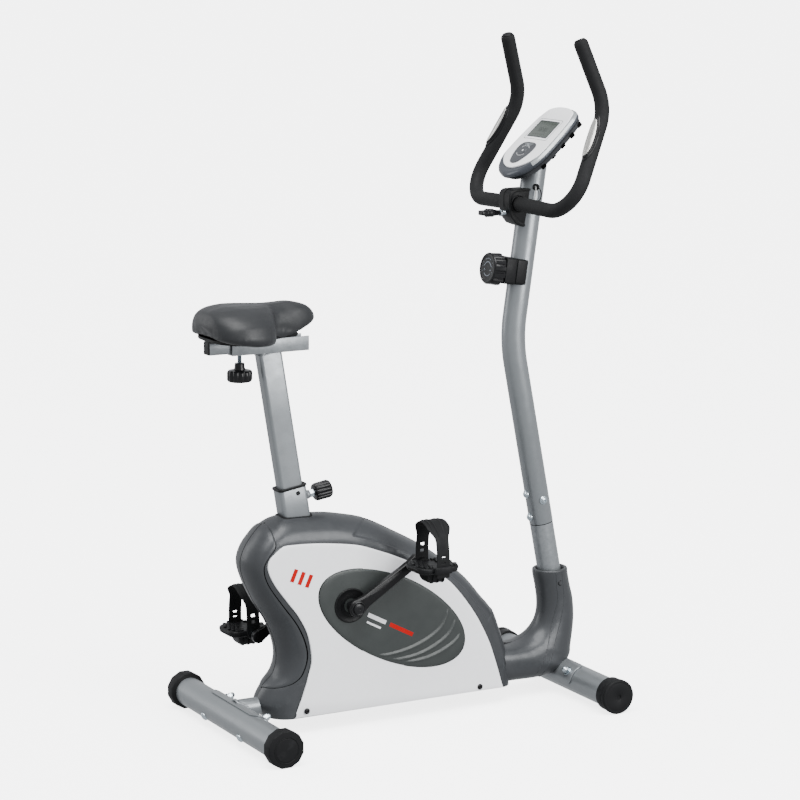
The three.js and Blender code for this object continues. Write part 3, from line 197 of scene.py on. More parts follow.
def surface(name, colour, roughness, metallic=0.0, mottle=0.06, mottle_size=0.03, speckle=0.05,
            grain=0.0007, depth=0.00002, ripple=0.0, wear=0.0, worn=None, coat=0.0, coat_roughness=0.1,
            sheen=0.0, spread_rough=0.06, cells=False, specular=0.35, stretch=None):
    """A worked surface: slow mottling, fine speckle, grain in relief, and paler worn edges."""
    made = bpy.data.materials.new(name)
    made.use_nodes = True
    tree = made.node_tree
    shader = tree.nodes["Principled BSDF"]
    shader.inputs["Metallic"].default_value = metallic
    shader.inputs["Specular IOR Level"].default_value = specular
    shader.inputs["Coat Weight"].default_value = coat
    shader.inputs["Coat Roughness"].default_value = coat_roughness
    shader.inputs["Sheen Weight"].default_value = sheen
    shader.inputs["Sheen Roughness"].default_value = 0.4

    slow = spread(tree, noise(tree, mottle_size, 3), 0, 1)
    tint = blend_colours(tree, slow, 0, shade(colour, 1 - mottle), shade(colour, 1 + mottle))
    fine = spread(tree, noise(tree, grain * 1.6, 1), 0, speckle)
    tint = blend_colours(tree, fine, 0, tint, shade(colour, 1.9))
    if wear:
        geometry = tree.nodes.new("ShaderNodeNewGeometry")
        edge = spread(tree, geometry, 0, 1, "Pointiness", 0.52, 0.60)
        patch = spread(tree, noise(tree, 0.008, 4), 0, wear, near=0.4, far=0.75)
        rubbed = tree.nodes.new("ShaderNodeMath")
        rubbed.operation = "MULTIPLY"
        wire(tree, edge, 0, rubbed, 0)
        wire(tree, patch, 0, rubbed, 1)
        tint = blend_colours(tree, rubbed, 0, tint, worn or shade(colour, 1.6))
    wire(tree, tint, 2, shader, "Base Color")

    rough = spread(tree, noise(tree, mottle_size * 0.4, 4), max(0.03, roughness - spread_rough),
                   min(1.0, roughness + spread_rough))
    wire(tree, rough, 0, shader, "Roughness")

    if cells:
        coordinates = tree.nodes.new("ShaderNodeTexCoord")
        relief = tree.nodes.new("ShaderNodeTexVoronoi")
        relief.inputs["Scale"].default_value = 1 / grain
        wire(tree, coordinates, "Object", relief, "Vector")
        normal = bump(tree, relief, "Distance", depth)
    else:
        normal = bump(tree, noise(tree, grain, 2, stretch), "Fac", depth)
    if ripple:
        normal = bump(tree, noise(tree, 0.012, 1), "Fac", ripple, before=normal)
    wire(tree, normal, "Normal", shader, "Normal")
    return made


SILVER = surface("silver_paint", (0.190, 0.203, 0.212), 0.36, metallic=0.6, mottle=0.025, mottle_size=0.05,
                 speckle=0.09, grain=0.0009, depth=0.000012, ripple=0.00002, coat=0.12, coat_roughness=0.18,
                 wear=0.3, worn=(0.42, 0.44, 0.46))
ZINC = surface("bright_zinc", (0.46, 0.52, 0.56), 0.2, metallic=1.0, mottle=0.08, mottle_size=0.004,
               grain=0.0006, depth=0.00001, wear=0.5, worn=(0.7, 0.73, 0.75))
SHELL = surface("dark_grey_moulding", (0.0350, 0.0372, 0.0402), 0.38, metallic=0.3, mottle=0.05, speckle=0.1,
                grain=0.0006, depth=0.00001, ripple=0.00001, coat=0.15, coat_roughness=0.22, wear=0.25,
                specular=0.3)
# Near-black sheets of painted shade, put in the gaps, seams, holes and vents of other parts where shade
# falls.
PAINTED_SHADE = surface("shadow_gap", (0.002, 0.002, 0.0022), 0.8, mottle=0.2, grain=0.001, specular=0.03)
PANEL = surface("white_panel", (0.86, 0.865, 0.88), 0.27, mottle=0.012, mottle_size=0.08, speckle=0.02,
                grain=0.0012, depth=0.000006, ripple=0.00002, coat=0.4, coat_roughness=0.12, wear=0.1,
                worn=(0.86, 0.86, 0.88))
OVAL = surface("mid_grey_cover", (0.031, 0.035, 0.0338), 0.38, metallic=0.2, mottle=0.04, mottle_size=0.05,
               speckle=0.08, grain=0.0007, depth=0.00001, coat=0.1, coat_roughness=0.25, wear=0.3,
               specular=0.3)
BLACK = surface("black_moulding", (0.0044, 0.0046, 0.0050), 0.42, mottle=0.1, speckle=0.12, grain=0.0005,
                depth=0.00003, wear=0.4, worn=(0.022, 0.023, 0.025), specular=0.13)
GLOSS_BLACK = surface("gloss_black", (0.0045, 0.0045, 0.0052), 0.26, mottle=0.1, speckle=0.05, grain=0.0009,
                      depth=0.00001, wear=0.4, worn=(0.02, 0.02, 0.022), coat=0.08, specular=0.22)
COATED_STEEL = surface("black_powder_coat", (0.0036, 0.0036, 0.0040), 0.3, metallic=0.1, mottle=0.08,
                       mottle_size=0.02, grain=0.0011, depth=0.00004, wear=0.6, worn=(0.03, 0.03, 0.033),
                       coat=0.06, specular=0.2)
RUBBER = surface("black_rubber", (0.0052, 0.0054, 0.0058), 0.58, mottle=0.12, speckle=0.2, grain=0.0006,
                 depth=0.00006, wear=0.4, worn=(0.022, 0.022, 0.024), specular=0.12)
FOAM = surface("grip_foam", (0.0072, 0.0074, 0.0079), 0.66, mottle=0.1, mottle_size=0.02, speckle=0.25,
               grain=0.0011, depth=0.00022, cells=True, sheen=0.02, wear=0.3, worn=(0.018, 0.018, 0.020),
               specular=0.16)
VINYL = surface("saddle_vinyl", (0.0125, 0.0135, 0.0150), 0.46, mottle=0.1, mottle_size=0.05, speckle=0.1,
                grain=0.0016, depth=0.00009, cells=True, sheen=0.02, wear=0.3, worn=(0.018, 0.019, 0.021),
                coat=0.05, coat_roughness=0.35, specular=0.3)
IRON = surface("turned_iron", (0.12, 0.12, 0.125), 0.35, metallic=0.9, mottle=0.12, mottle_size=0.01,
               grain=0.0015, depth=0.00004, wear=0.5, worn=(0.3, 0.3, 0.3))
BEZEL = surface("silver_bezel", (0.042, 0.047, 0.057), 0.32, metallic=0.4, mottle=0.03, speckle=0.12,
                grain=0.0005, depth=0.000008, coat=0.2, coat_roughness=0.15, wear=0.3)
CONSOLE_WHITE = surface("console_white", (0.92, 0.92, 0.93), 0.24, mottle=0.01, mottle_size=0.05,
                        speckle=0.02, grain=0.0009, depth=0.000006, coat=0.4, coat_roughness=0.1, wear=0.1,
                        worn=(0.9, 0.9, 0.9))
CONSOLE_RIM = surface("console_rim", (0.33, 0.35, 0.36), 0.3, metallic=0.5, mottle=0.02, speckle=0.06,
                      grain=0.0006, depth=0.000008, coat=0.2, wear=0.2)
CONSOLE_BACK = surface("console_back", (0.028, 0.030, 0.034), 0.4, metallic=0.2, mottle=0.05, speckle=0.1,
                       grain=0.0006, depth=0.00002, coat=0.1, wear=0.3, specular=0.25)
DIAL_MARK = surface("dial_print", (0.16, 0.18, 0.21), 0.4, mottle=0.08, speckle=0.05, grain=0.0006,
                    depth=0.000005)
PAD = surface("button_pad", (0.055, 0.058, 0.064), 0.4, metallic=0.25, mottle=0.04, speckle=0.1, grain=0.0005,
              depth=0.00001, coat=0.1, wear=0.3)
PULSE = surface("brushed_pulse_plate", (0.60, 0.59, 0.56), 0.26, metallic=1.0, mottle=0.05, mottle_size=0.01,
                grain=0.0004, depth=0.000004, wear=0.3, worn=(0.8, 0.8, 0.77))
LCD = surface("lcd_grey_green", (0.052, 0.062, 0.054), 0.25, mottle=0.04, mottle_size=0.015, speckle=0.03,
              grain=0.0008, depth=0.000004, coat=0.3, coat_roughness=0.04)
LCD_INK = surface("lcd_segments", (0.018, 0.022, 0.019), 0.35, mottle=0.1, grain=0.0006, depth=0.000004,
                  coat=0.2, coat_roughness=0.05)
RED = surface("red_print", (0.36, 0.0025, 0.002), 0.4, mottle=0.06, speckle=0.04, grain=0.0006,
              depth=0.000005, specular=0.1)
WHITE = surface("white_print", (0.62, 0.62, 0.63), 0.4, mottle=0.05, speckle=0.04, grain=0.0006,
                depth=0.000005)
WIRE_WHITE = surface("pale_wire", (0.5, 0.5, 0.48), 0.38, mottle=0.06, grain=0.0008, depth=0.00002)
FLOOR = surface("pale_floor", (0.93, 0.93, 0.93), 0.7, mottle=0.006, mottle_size=0.6, speckle=0.01,
                grain=0.004,
                depth=0.00002, specular=0.1)
FLOOR.node_tree.nodes["Principled BSDF"].inputs["Emission Color"].default_value = (1, 1, 1, 1)
FLOOR.node_tree.nodes["Principled BSDF"].inputs["Emission Strength"].default_value = 3.4


# ---------------------------------------------------------------- curves and meshes
def smooth_curve(points, count):
    """A Catmull-Rom curve through the points, cut into count equal shares of its length."""
    points = [Vector(p) for p in points]
    padded = [points[0] * 2 - points[1], *points, points[-1] * 2 - points[-2]]
    dense = []
    for index in range(1, len(padded) - 2):
        p0, p1, p2, p3 = padded[index - 1:index + 3]
        for step in range(24):
            t = step / 24
            dense.append(0.5 * (2 * p1 + (p2 - p0) * t + (2 * p0 - 5 * p1 + 4 * p2 - p3) * t * t
                                + (3 * p1 - p0 - 3 * p2 + p3) * t ** 3))
    dense.append(points[-1])
    return evenly(dense, count)


def evenly(points, count):
    """The same line with count + 1 points at equal spacing."""
    lengths = [0.0]
    for before, after in zip(points, points[1:]):
        lengths.append(lengths[-1] + (after - before).length)
    made, index = [], 0
    for step in range(count + 1):
        target = lengths[-1] * step / count
        while index < len(points) - 2 and lengths[index + 1] < target:
            index += 1
        span = lengths[index + 1] - lengths[index]
        share = (target - lengths[index]) / span if span else 0
        made.append(points[index].lerp(points[index + 1], min(1, share)))
    return made


def filleted(corners, spacing=6.0):
    """A line through (place, bend radius) corners, each corner rounded to its radius."""
    made = [Vector(corners[0][0])]
    for (before, _), (corner, radius), (after, _) in zip(corners, corners[1:], corners[2:]):
        before, corner, after = Vector(before), Vector(corner), Vector(after)
        to_before, to_after = (before - corner).normalized(), (after - corner).normalized()
        turn = pi - to_before.angle(to_after)
        reach = radius * sin(turn / 2) / cos(turn / 2)
        centre = corner + (to_before + to_after).normalized() * (radius / cos(turn / 2))
        start, end = corner + to_before * reach, corner + to_after * reach
        steps = max(4, ceil(turn * radius / spacing))
        for step in range(steps + 1):
            share = step / steps
            arm = (start - centre).slerp(end - centre, share)
            made.append(centre + arm.normalized() * radius)
    made.append(Vector(corners[-1][0]))
    return made


def circle(radius, sides=40):
    """The outline of a round bar."""
    return [(radius * cos(2 * pi * i / sides), radius * sin(2 * pi * i / sides)) for i in range(sides)]


def rounded_rectangle(length, width, radius, steps=6):
    """An outline of a rectangle with rounded corners."""
    made = []
    for centre_x, centre_y, start in (
        (length / 2 - radius, width / 2 - radius, 0), (-length / 2 + radius, width / 2 - radius, 90),
        (-length / 2 + radius, -width / 2 + radius, 180), (length / 2 - radius, -width / 2 + radius, 270),
    ):
        for step in range(steps + 1):
            angle = radians(start + 90 * step / steps)
            made.append((centre_x + radius * cos(angle), centre_y + radius * sin(angle)))
    return made


def refined(outline, spacing=3.0):
    """The same closed outline with points added along its long edges."""
    made = []
    for (a, b), (c, d) in zip(outline, [*outline[1:], outline[0]]):
        steps = max(1, ceil(hypot(c - a, d - b) / spacing))
        made += [(a + (c - a) * step / steps, b + (d - b) * step / steps) for step in range(steps)]
    return made


def to_mesh(name, points, faces):
    """A mesh in metres from points in millimetres."""
    mesh = bpy.data.meshes.new(name)
    mesh.from_pydata([tuple(p * 0.001) for p in points], [], faces)
    mesh.update()
    return mesh


def piece(name, mesh, material, body=None, slot=None, stands_for=(), smooth=40, bevel=None, levels=0):
    """Puts a mesh in the scene, gives it its finish and edges, and lets it ride on its body."""
    made = bpy.data.objects.new(name, mesh)
    bpy.context.scene.collection.objects.link(made)
    tidy = bmesh.new()
    tidy.from_mesh(mesh)
    bmesh.ops.remove_doubles(tidy, verts=tidy.verts, dist=2e-6)
    bmesh.ops.recalc_face_normals(tidy, faces=tidy.faces)
    tidy.to_mesh(mesh)
    tidy.free()
    mesh.materials.clear()
    for each in material if isinstance(material, (list, tuple)) else [material]:
        mesh.materials.append(each)
    if bevel:
        width, segments = bevel
        modifier = made.modifiers.new("edges", "BEVEL")
        modifier.width = width * 0.001
        modifier.segments = segments
        modifier.limit_method = "ANGLE"
        modifier.angle_limit = radians(28)
        modifier.harden_normals = False
    if levels:
        modifier = made.modifiers.new("smooth", "SUBSURF")
        modifier.levels = levels
        modifier.render_levels = levels
    if bevel or levels:
        bake_modifiers(made)
        mesh = made.data
    for polygon in mesh.polygons:
        polygon.use_smooth = True
    mesh.set_sharp_from_angle(angle=radians(smooth))
    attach(made, body or BODY)
    if stands_for:
        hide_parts(*([stands_for] if isinstance(stands_for, str) else stands_for))
    return made


def bake_modifiers(made):
    """Turns a piece's modifiers into its mesh."""
    bpy.context.view_layer.update()
    graph = bpy.context.evaluated_depsgraph_get()
    mesh = bpy.data.meshes.new_from_object(made.evaluated_get(graph))
    made.modifiers.clear()
    made.data = mesh


def rings_mesh(name, rings, closed=True, caps=(False, False)):
    """A skin through rings of equal point count; closed joins each ring's ends."""
    count = len(rings[0])
    points = [p for ring in rings for p in ring]
    faces = []
    for row in range(len(rings) - 1):
        for step in range(count if closed else count - 1):
            after = (step + 1) % count
            faces.append((row * count + step, row * count + after,
                          (row + 1) * count + after, (row + 1) * count + step))
    if caps[0]:
        faces.append(tuple(reversed(range(count))))
    if caps[1]:
        start = (len(rings) - 1) * count
        faces.append(tuple(range(start, start + count)))
    return to_mesh(name, points, faces)


def frames_along(line, first_normal):
    """Turning-free frames along a line: (place, normal, side) at each point."""
    made, normal = [], Vector(first_normal)
    for index, place in enumerate(line):
        before, after = line[max(0, index - 1)], line[min(len(line) - 1, index + 1)]
        along = (after - before).normalized()
        normal = (normal - along * normal.dot(along)).normalized()
        made.append((place, normal, along.cross(normal)))
    return made


def swept(name, line, section, first_normal=(0, 1, 0), bore=None, caps=(True, True)):
    """A section, of (normal, side) offsets, swept along a line. A bore makes it a tube."""
    rings = [[place + normal * a + side * b for a, b in section]
             for place, normal, side in frames_along(line, first_normal)]
    if bore is None:
        return rings_mesh(name, rings, caps=caps)
    inner = [[place + normal * a + side * b for a, b in bore]
             for place, normal, side in frames_along(line, first_normal)]
    return rings_mesh(name, [inner[0], *rings, inner[-1], *reversed(inner[:-1])])


def lathe(name, origin, axis, profile, sides=48, flutes=None):
    """A turned piece: profile lists (distance along the axis, radius). flutes(angle, distance, radius)
    may change the radius round the piece."""
    axis = Vector(axis).normalized()
    normal = axis.orthogonal().normalized()
    side = axis.cross(normal)
    rings = []
    for distance, radius in profile:
        ring = []
        for step in range(sides):
            angle = 2 * pi * step / sides
            reach = flutes(angle, distance, radius) if flutes else radius
            spoke = normal * cos(angle) + side * sin(angle)
            ring.append(Vector(origin) + axis * distance + spoke * max(reach, 0.01))
        rings.append(ring)
    return rings_mesh(name, rings, caps=(True, True))


def slab(name, outline, place, low, high, steps=1):
    """An outline of (a, b) pairs extruded from low to high; place(a, b, height) gives each point."""
    rings = [[place(a, b, low + (high - low) * step / steps) for a,
              b in outline] for step in range(steps + 1)]
    return rings_mesh(name, rings, caps=(True, True))


def domed_slab(name, outline, place, low, high, rounding=2.0, dome=0.0, steps=5, rings_in=3):
    """A slab whose top edge is rounded and whose top may crown; low is the back, high the face."""
    outline = [Vector((a, b, 0)) for a, b in outline]
    centre = sum(outline, Vector()) / len(outline)
    inward = inward_normals(outline)

    def at(inset, height):
        return [place(p.x + n.x * inset, p.y + n.y * inset, height) for p, n in zip(outline, inward)]

    rings = [at(0, low), at(0, high - rounding)]
    for step in range(1, steps + 1):
        angle = radians(90 * step / steps)
        rings.append(at(rounding * (1 - cos(angle)), high - rounding * (1 - sin(angle))))
    for step in range(1, rings_in + 1):
        share = step / (rings_in + 1)
        ring = []
        for p, n in zip(outline, inward):
            q = p + n * rounding
            q = q.lerp(centre, share)
            ring.append(place(q.x, q.y, high + dome * (1 - (1 - share) ** 2)))
        rings.append(ring)
    return rings_mesh(name, rings, caps=(True, True))


def inward_normals(outline):
    """Unit vectors that point into a flat outline from each of its points."""
    count = len(outline)
    area = sum(outline[i].x * outline[(i + 1) % count].y - outline[(i + 1) % count].x * outline[i].y
               for i in range(count))
    turn = 1 if area > 0 else -1
    made = []
    for index in range(count):
        along = (outline[(index + 1) % count] - outline[index - 1]).normalized()
        made.append(Vector((-along.y * turn, along.x * turn, 0)))
    return made


def joined(name, meshes):
    """Several meshes as one."""
    whole = bmesh.new()
    for mesh in meshes:
        whole.from_mesh(mesh)
    made = bpy.data.meshes.new(name)
    whole.to_mesh(made)
    whole.free()
    return made


def mirrored(mesh):
    """The same mesh on the bike's other side."""
    made = mesh.copy()
    made.transform(Matrix.Scale(-1, 4, (0, 1, 0)))
    made.flip_normals()
    return made


def on_sides(name, mesh, material, body=None, **options):
    """A piece modelled on the right side, and its mirror image on the left."""
    for side, sign in SIDES.items():
        own = mesh.copy() if sign < 0 else mirrored(mesh)
        extra = {key: value.format(side) if isinstance(value, str) else value for key,
                 value in options.items()}
        piece(f"{name}_{side}", own, material, body.format(side) if body else None, **extra)


def ease(value, low, high):
    """A smooth step from 0 at low to 1 at high."""
    share = min(1, max(0, (value - low) / (high - low)))
    return share * share * (3 - 2 * share)


# ---------------------------------------------------------------- drive shell
# Side-view places of the shell's ridge, in the middle plane, with the matching edge of the side panel.
SHELL_PAIRS = [
    ((-308, 34), (-263, 34)), ((-321, 62), (-252, 62)), ((-306, 93), (-240, 90)), ((-281, 118), (-231, 122)),
    ((-272, 150), (-222.6, 155)), ((-277, 186), (-226, 186)), ((-293, 228), (-243.5, 230)),
    ((-322, 274), (-273, 274)), ((-343, 320), (-304, 317)), ((-350, 354), (-318, 351)),
    ((-341, 384), (-311, 373)), ((-322, 410), (-297, 387)), ((-301, 429), (-285, 392.5)),
    ((-262, 443.5), (-258, 393.5)), ((-180, 441), (-181, 388)), ((-132, 434), (-127, 380)),
    ((-70, 418), (-80, 363.5)), ((-6, 386), (-25, 342.5)), ((58, 350), (34, 314)), ((110, 313), (84, 285)),
    ((157, 274), (125, 247)), ((195, 230), (155, 206)), ((221, 199), (174, 172)), ((238, 157), (192, 130)),
    ((253, 110), (207, 90)), ((259, 60), (218, 56)), ((259.5, 34), (224, 34)),
]
SHELL_HALF = 57.5
LAST_PAIR = len(SHELL_PAIRS) - 1
# The rear trim's edge: place along the shell, and angle from the ridge (0) to the side panel (90).
TRIM_EDGE = [
    (2.0, 0), (2.1, 30), (2.35, 52), (2.65, 66), (3.1, 75), (4, 78.5), (5.3, 78.5), (6.5, 74), (8, 70.5),
    (9, 76), (9.8, 82.5), (10.6, 83.5), (11.25, 76), (11.65, 62), (11.95, 38), (12.08, 0),
]


def along_pairs(s):
    """Ridge and panel-edge places at s, on smooth curves through the pairs."""
    s = min(max(s, 0), LAST_PAIR - 1e-6)
    index, t = int(s), s - int(s)
    rows = [SHELL_PAIRS[min(max(index + step, 0), LAST_PAIR)] for step in (-1, 0, 1, 2)]
    made = []
    for which in (0, 1):
        p0, p1, p2, p3 = (Vector((row[which][0], 0, row[which][1])) for row in rows)
        made.append(0.5 * (2 * p1 + (p2 - p0) * t + (2 * p0 - 5 * p1 + 4 * p2 - p3) * t * t
                           + (3 * p1 - p0 - 3 * p2 + p3) * t ** 3))
    return made


def shell_plain(s, angle):
    """A place on the casing without its trim, by share along it and angle from its ridge."""
    ridge, edge = along_pairs(s)
    turn = radians(angle)
    place = ridge.lerp(edge, 1 - cos(turn))
    return Vector((place.x, -SHELL_HALF * sin(turn), place.z))


def shell_at(s, angle, sink=0.0):
    """A place on the right half of the shell's skin, sunk below it by a distance."""
    here = shell_plain(s, angle)
    along = shell_plain(min(s + 0.02, LAST_PAIR), angle) - shell_plain(max(s - 0.02, 0), angle)
    across = shell_plain(s, min(angle + 0.6, 90)) - shell_plain(s, angle - 0.6)
    normal = along.cross(across).normalized()
    if normal.dot(here - Vector((-40, 0, 220))) < 0:
        normal = -normal
    return here - normal * sink


def recess(s, angle):
    """How deep the skin is stepped down in front of the top cap and above the panel's rim."""
    step_at = 15.9 - 1.0 * (max(angle, 0) / 80) ** 1.4
    front = ease(s, step_at - 0.012, step_at + 0.03) * (1 - ease(s, 21.98, 22.06))
    return 1.7 * front * (1 - ease(angle, 69, 72.5))


def trim_edge_places(count):
    """Places along the edge of the rear trim."""
    line = smooth_curve([(s * 12, angle, 0) for s, angle in TRIM_EDGE], count)
    return [(p.x / 12, max(0, min(p.y, 89))) for p in line]


def make_rear_trim():
    """The strip of casing that curves round the rear, and a painted shade line along its seam."""
    edge = trim_edge_places(110)
    low, high = TRIM_EDGE[0][0], TRIM_EDGE[-1][0]
    columns = 22
    rings = []
    for index, (edge_s, edge_angle) in enumerate(edge):
        ridge_s = low + (high - low) * index / (len(edge) - 1)
        ridge_s = ridge_s * 0.25 + edge_s * 0.75
        half = []
        for column in range(columns + 1):
            share = column / columns
            half.append(shell_at(ridge_s + (edge_s - ridge_s) * share, edge_angle * share,
                                 -1.7 * (1 - share ** 10)))
        half.append(shell_at(edge_s, edge_angle, 1.2))
        half.append(shell_at(edge_s, edge_angle, 4.0))
        left = [Vector((p.x, -p.y, p.z)) for p in reversed(half[1:])]
        rings.append(left + half)
    piece("rear_trim_skin", rings_mesh("rear_trim", rings, closed=False), SHELL, slot="grey_shell",
          stands_for="rear_trim", smooth=55)
    # A thin near-black tube on the ridge: a painted shade line along the trim's seam.
    seam = []
    for step in range(90):
        s = low + 0.1 + (high - low - 0.2) * step / 89
        seam.append(shell_at(s, 0, -1.8))
    mesh = swept("trim_seam", seam, circle(0.42, 8), (0, 1, 0))
    piece("rear_trim_seam_shade", mesh, PAINTED_SHADE, slot="grey_shell")


def make_shell_halves():
    """The two grey casing halves, with painted shade in the gaps where they meet the trim."""
    edge = trim_edge_places(110)
    gap = 3.3
    stations = [(0.1 * step, 0.35) for step in range(20)]
    stations += [(s, min(angle + gap, 88)) for s, angle in edge]
    fine = [12.2 + 0.1 * step for step in range(22)] + [14.4 + 0.03 * step for step in range(60)]
    fine += [16.2 + 0.1 * step for step in range(57)] + [21.86 + 0.03 * step for step in range(10)]
    fine += [22.2 + 0.1 * step for step in range(39)]
    stations += [(s, 0.35) for s in fine if s <= LAST_PAIR]
    rings = []
    for s, start in stations:
        angles = [start + (90 - start) * (step / 30) for step in range(31)]
        if start < 60:
            angles = [start + (69 - start) * step / 20 for step in range(20)]
            angles += [69, 70, 71, 72, 73, 75, 78, 81, 84, 87, 90]
        in_trim = TRIM_EDGE[0][0] <= s <= TRIM_EDGE[-1][0] and start > 1
        row = [shell_at(s, start, 4.0), shell_at(s, start, 1.0 if in_trim else 0.6)]
        row += [shell_at(s, angle, recess(s, angle) if s > 12.2 else 0) for angle in angles]
        last = row[-1]
        row.append(Vector((last.x, last.y - 1.5, last.z)).lerp(Vector((-40, last.y - 1.5, 200)), 0.004))
        row.append(Vector((last.x, last.y - 1.5, last.z)).lerp(Vector((-40, last.y - 1.5, 200)), 0.02))
        rings.append(row)
    skin = rings_mesh("shell_skin", rings, closed=False)
    bottom = [rings[0][index] for index in range(2, 33)] + [rings[-1][index] for index in range(32, 1, -1)]
    bottom = [Vector((p.x, p.y, 34.2)) for p in bottom]
    floor = to_mesh("shell_floor", bottom, [tuple(range(len(bottom)))])
    on_sides("shell_skin", joined("shell_half", [skin, floor]), SHELL, slot="grey_shell",
             stands_for="shell_{}", smooth=50)

    # Near-black strips of painted shade that close the gap round the trim, and a strip of painted shade along
    # the ridge seam.
    rows = [[shell_at(s, min(angle + shift, 89), 3.2) for shift in (-4, -1, 2, 5)] for s, angle in edge[3:-3]]
    on_sides("trim_gap_shade", rings_mesh("trim_gap_shade", rows, closed=False), PAINTED_SHADE, slot="grey_shell")
    ridge = [[shell_at(s, angle, 2.6) for angle in (-3,
                                                    3)] for s in [12.1 + 0.2 * step for step in range(70)]]
    piece("ridge_gap_shade", rings_mesh("ridge_gap_shade", ridge, closed=False), PAINTED_SHADE, slot="grey_shell")


def side_place(a, b, height):
    """A place on the right side: a forward, b up, height outward from the shell's flat side."""
    return Vector((a, -SHELL_HALF - height, b))


def panel_outline():
    """The outline of a white side panel."""
    rear = [(-263, 34.5), (-251, 62), (-239.5, 90.7), (-230, 122), (-222.6, 155), (-231, 204), (-251, 244.5),
            (-274, 275.6), (-304, 317), (-318, 350), (-312, 371.5), (-291, 389)]
    top = [(-273, 394), (-230, 392.5), (-181, 388), (-119, 378), (-66.6, 360), (-13.8, 337.7), (40, 310),
           (93.6, 279.4), (148, 214), (184, 151), (204, 99), (224, 34.5)]
    rear_line = smooth_curve([(x, z, 0) for x, z in rear], 70)
    corner = smooth_curve([(-291, 389, 0), (-283.5, 392.6, 0), (-273, 394, 0)], 5)[1:-1]
    top_line = smooth_curve([(x, z, 0) for x, z in top], 90)
    bottom = [Vector((224 - (224 + 263) * step / 40, 34.5, 0)) for step in range(1, 40)]
    return [(p.x, p.y) for p in [*rear_line, *corner, *top_line, *bottom]]


def make_side_panels():
    """The white panels on both sides, with their screws."""
    def place(a, b, height):
        crease = 34.5 + (224 - a) / 434 * 21.5
        tuck = max(0.0, crease - b) * 0.16 if height > 0 else 0.0
        crown = 1.2 * exp(-((a + 60) / 230) ** 2) if height > 2.5 else 0.0
        return side_place(a, b, height - tuck + crown)

    mesh = domed_slab("side_panel", panel_outline(), place, -1.2, 3.2, rounding=1.6, steps=4, rings_in=22)
    on_sides("side_panel_skin", mesh, PANEL, slot="white_panel", stands_for="side_panel_{}", smooth=32)
    for name, (x, z) in {"rear": (-234.8, 47.9), "front": (167.4, 43.9)}.items():
        at = side_place(x, z, 0)
        cup = lathe("screw_cup", at, (0, -1, 0),
                    [(3.4, 0.01), (3.4, 3.0), (2.6, 3.2), (4.75, 5.2), (4.75, 6.2), (3.4, 6.2)], 28)
        on_sides(f"panel_screw_cup_{name}", cup, GLOSS_BLACK, slot="black_plastic")
        head = lathe("screw_head", at, (0, -1, 0),
                     [(2.4, 4.4), (3.8, 4.2), (4.35, 2.6), (4.5, 1.2), (3.9, 0.9), (3.9, 0.01)], 24)
        on_sides(f"panel_screw_{name}", head, COATED_STEEL, slot="black_steel")


OVAL_CENTRE, OVAL_AXES, OVAL_TILT = (-38.5, 216.8), (182.6, 85.4), radians(-27.1)
OVAL_FACE = 5.6


def oval_point(reach, angle):
    """A place inside the oval cover: reach 0 at its middle and 1 at its edge."""
    a, b = OVAL_AXES[0] * reach * cos(angle), OVAL_AXES[1] * reach * sin(angle)
    return (OVAL_CENTRE[0] + a * cos(OVAL_TILT) - b * sin(OVAL_TILT),
            OVAL_CENTRE[1] + a * sin(OVAL_TILT) + b * cos(OVAL_TILT))


def oval_crown(reach):
    """How far the oval cover bulges, by the share of its radius."""
    return OVAL_FACE + 1.9 * (1 - reach ** 2.4)


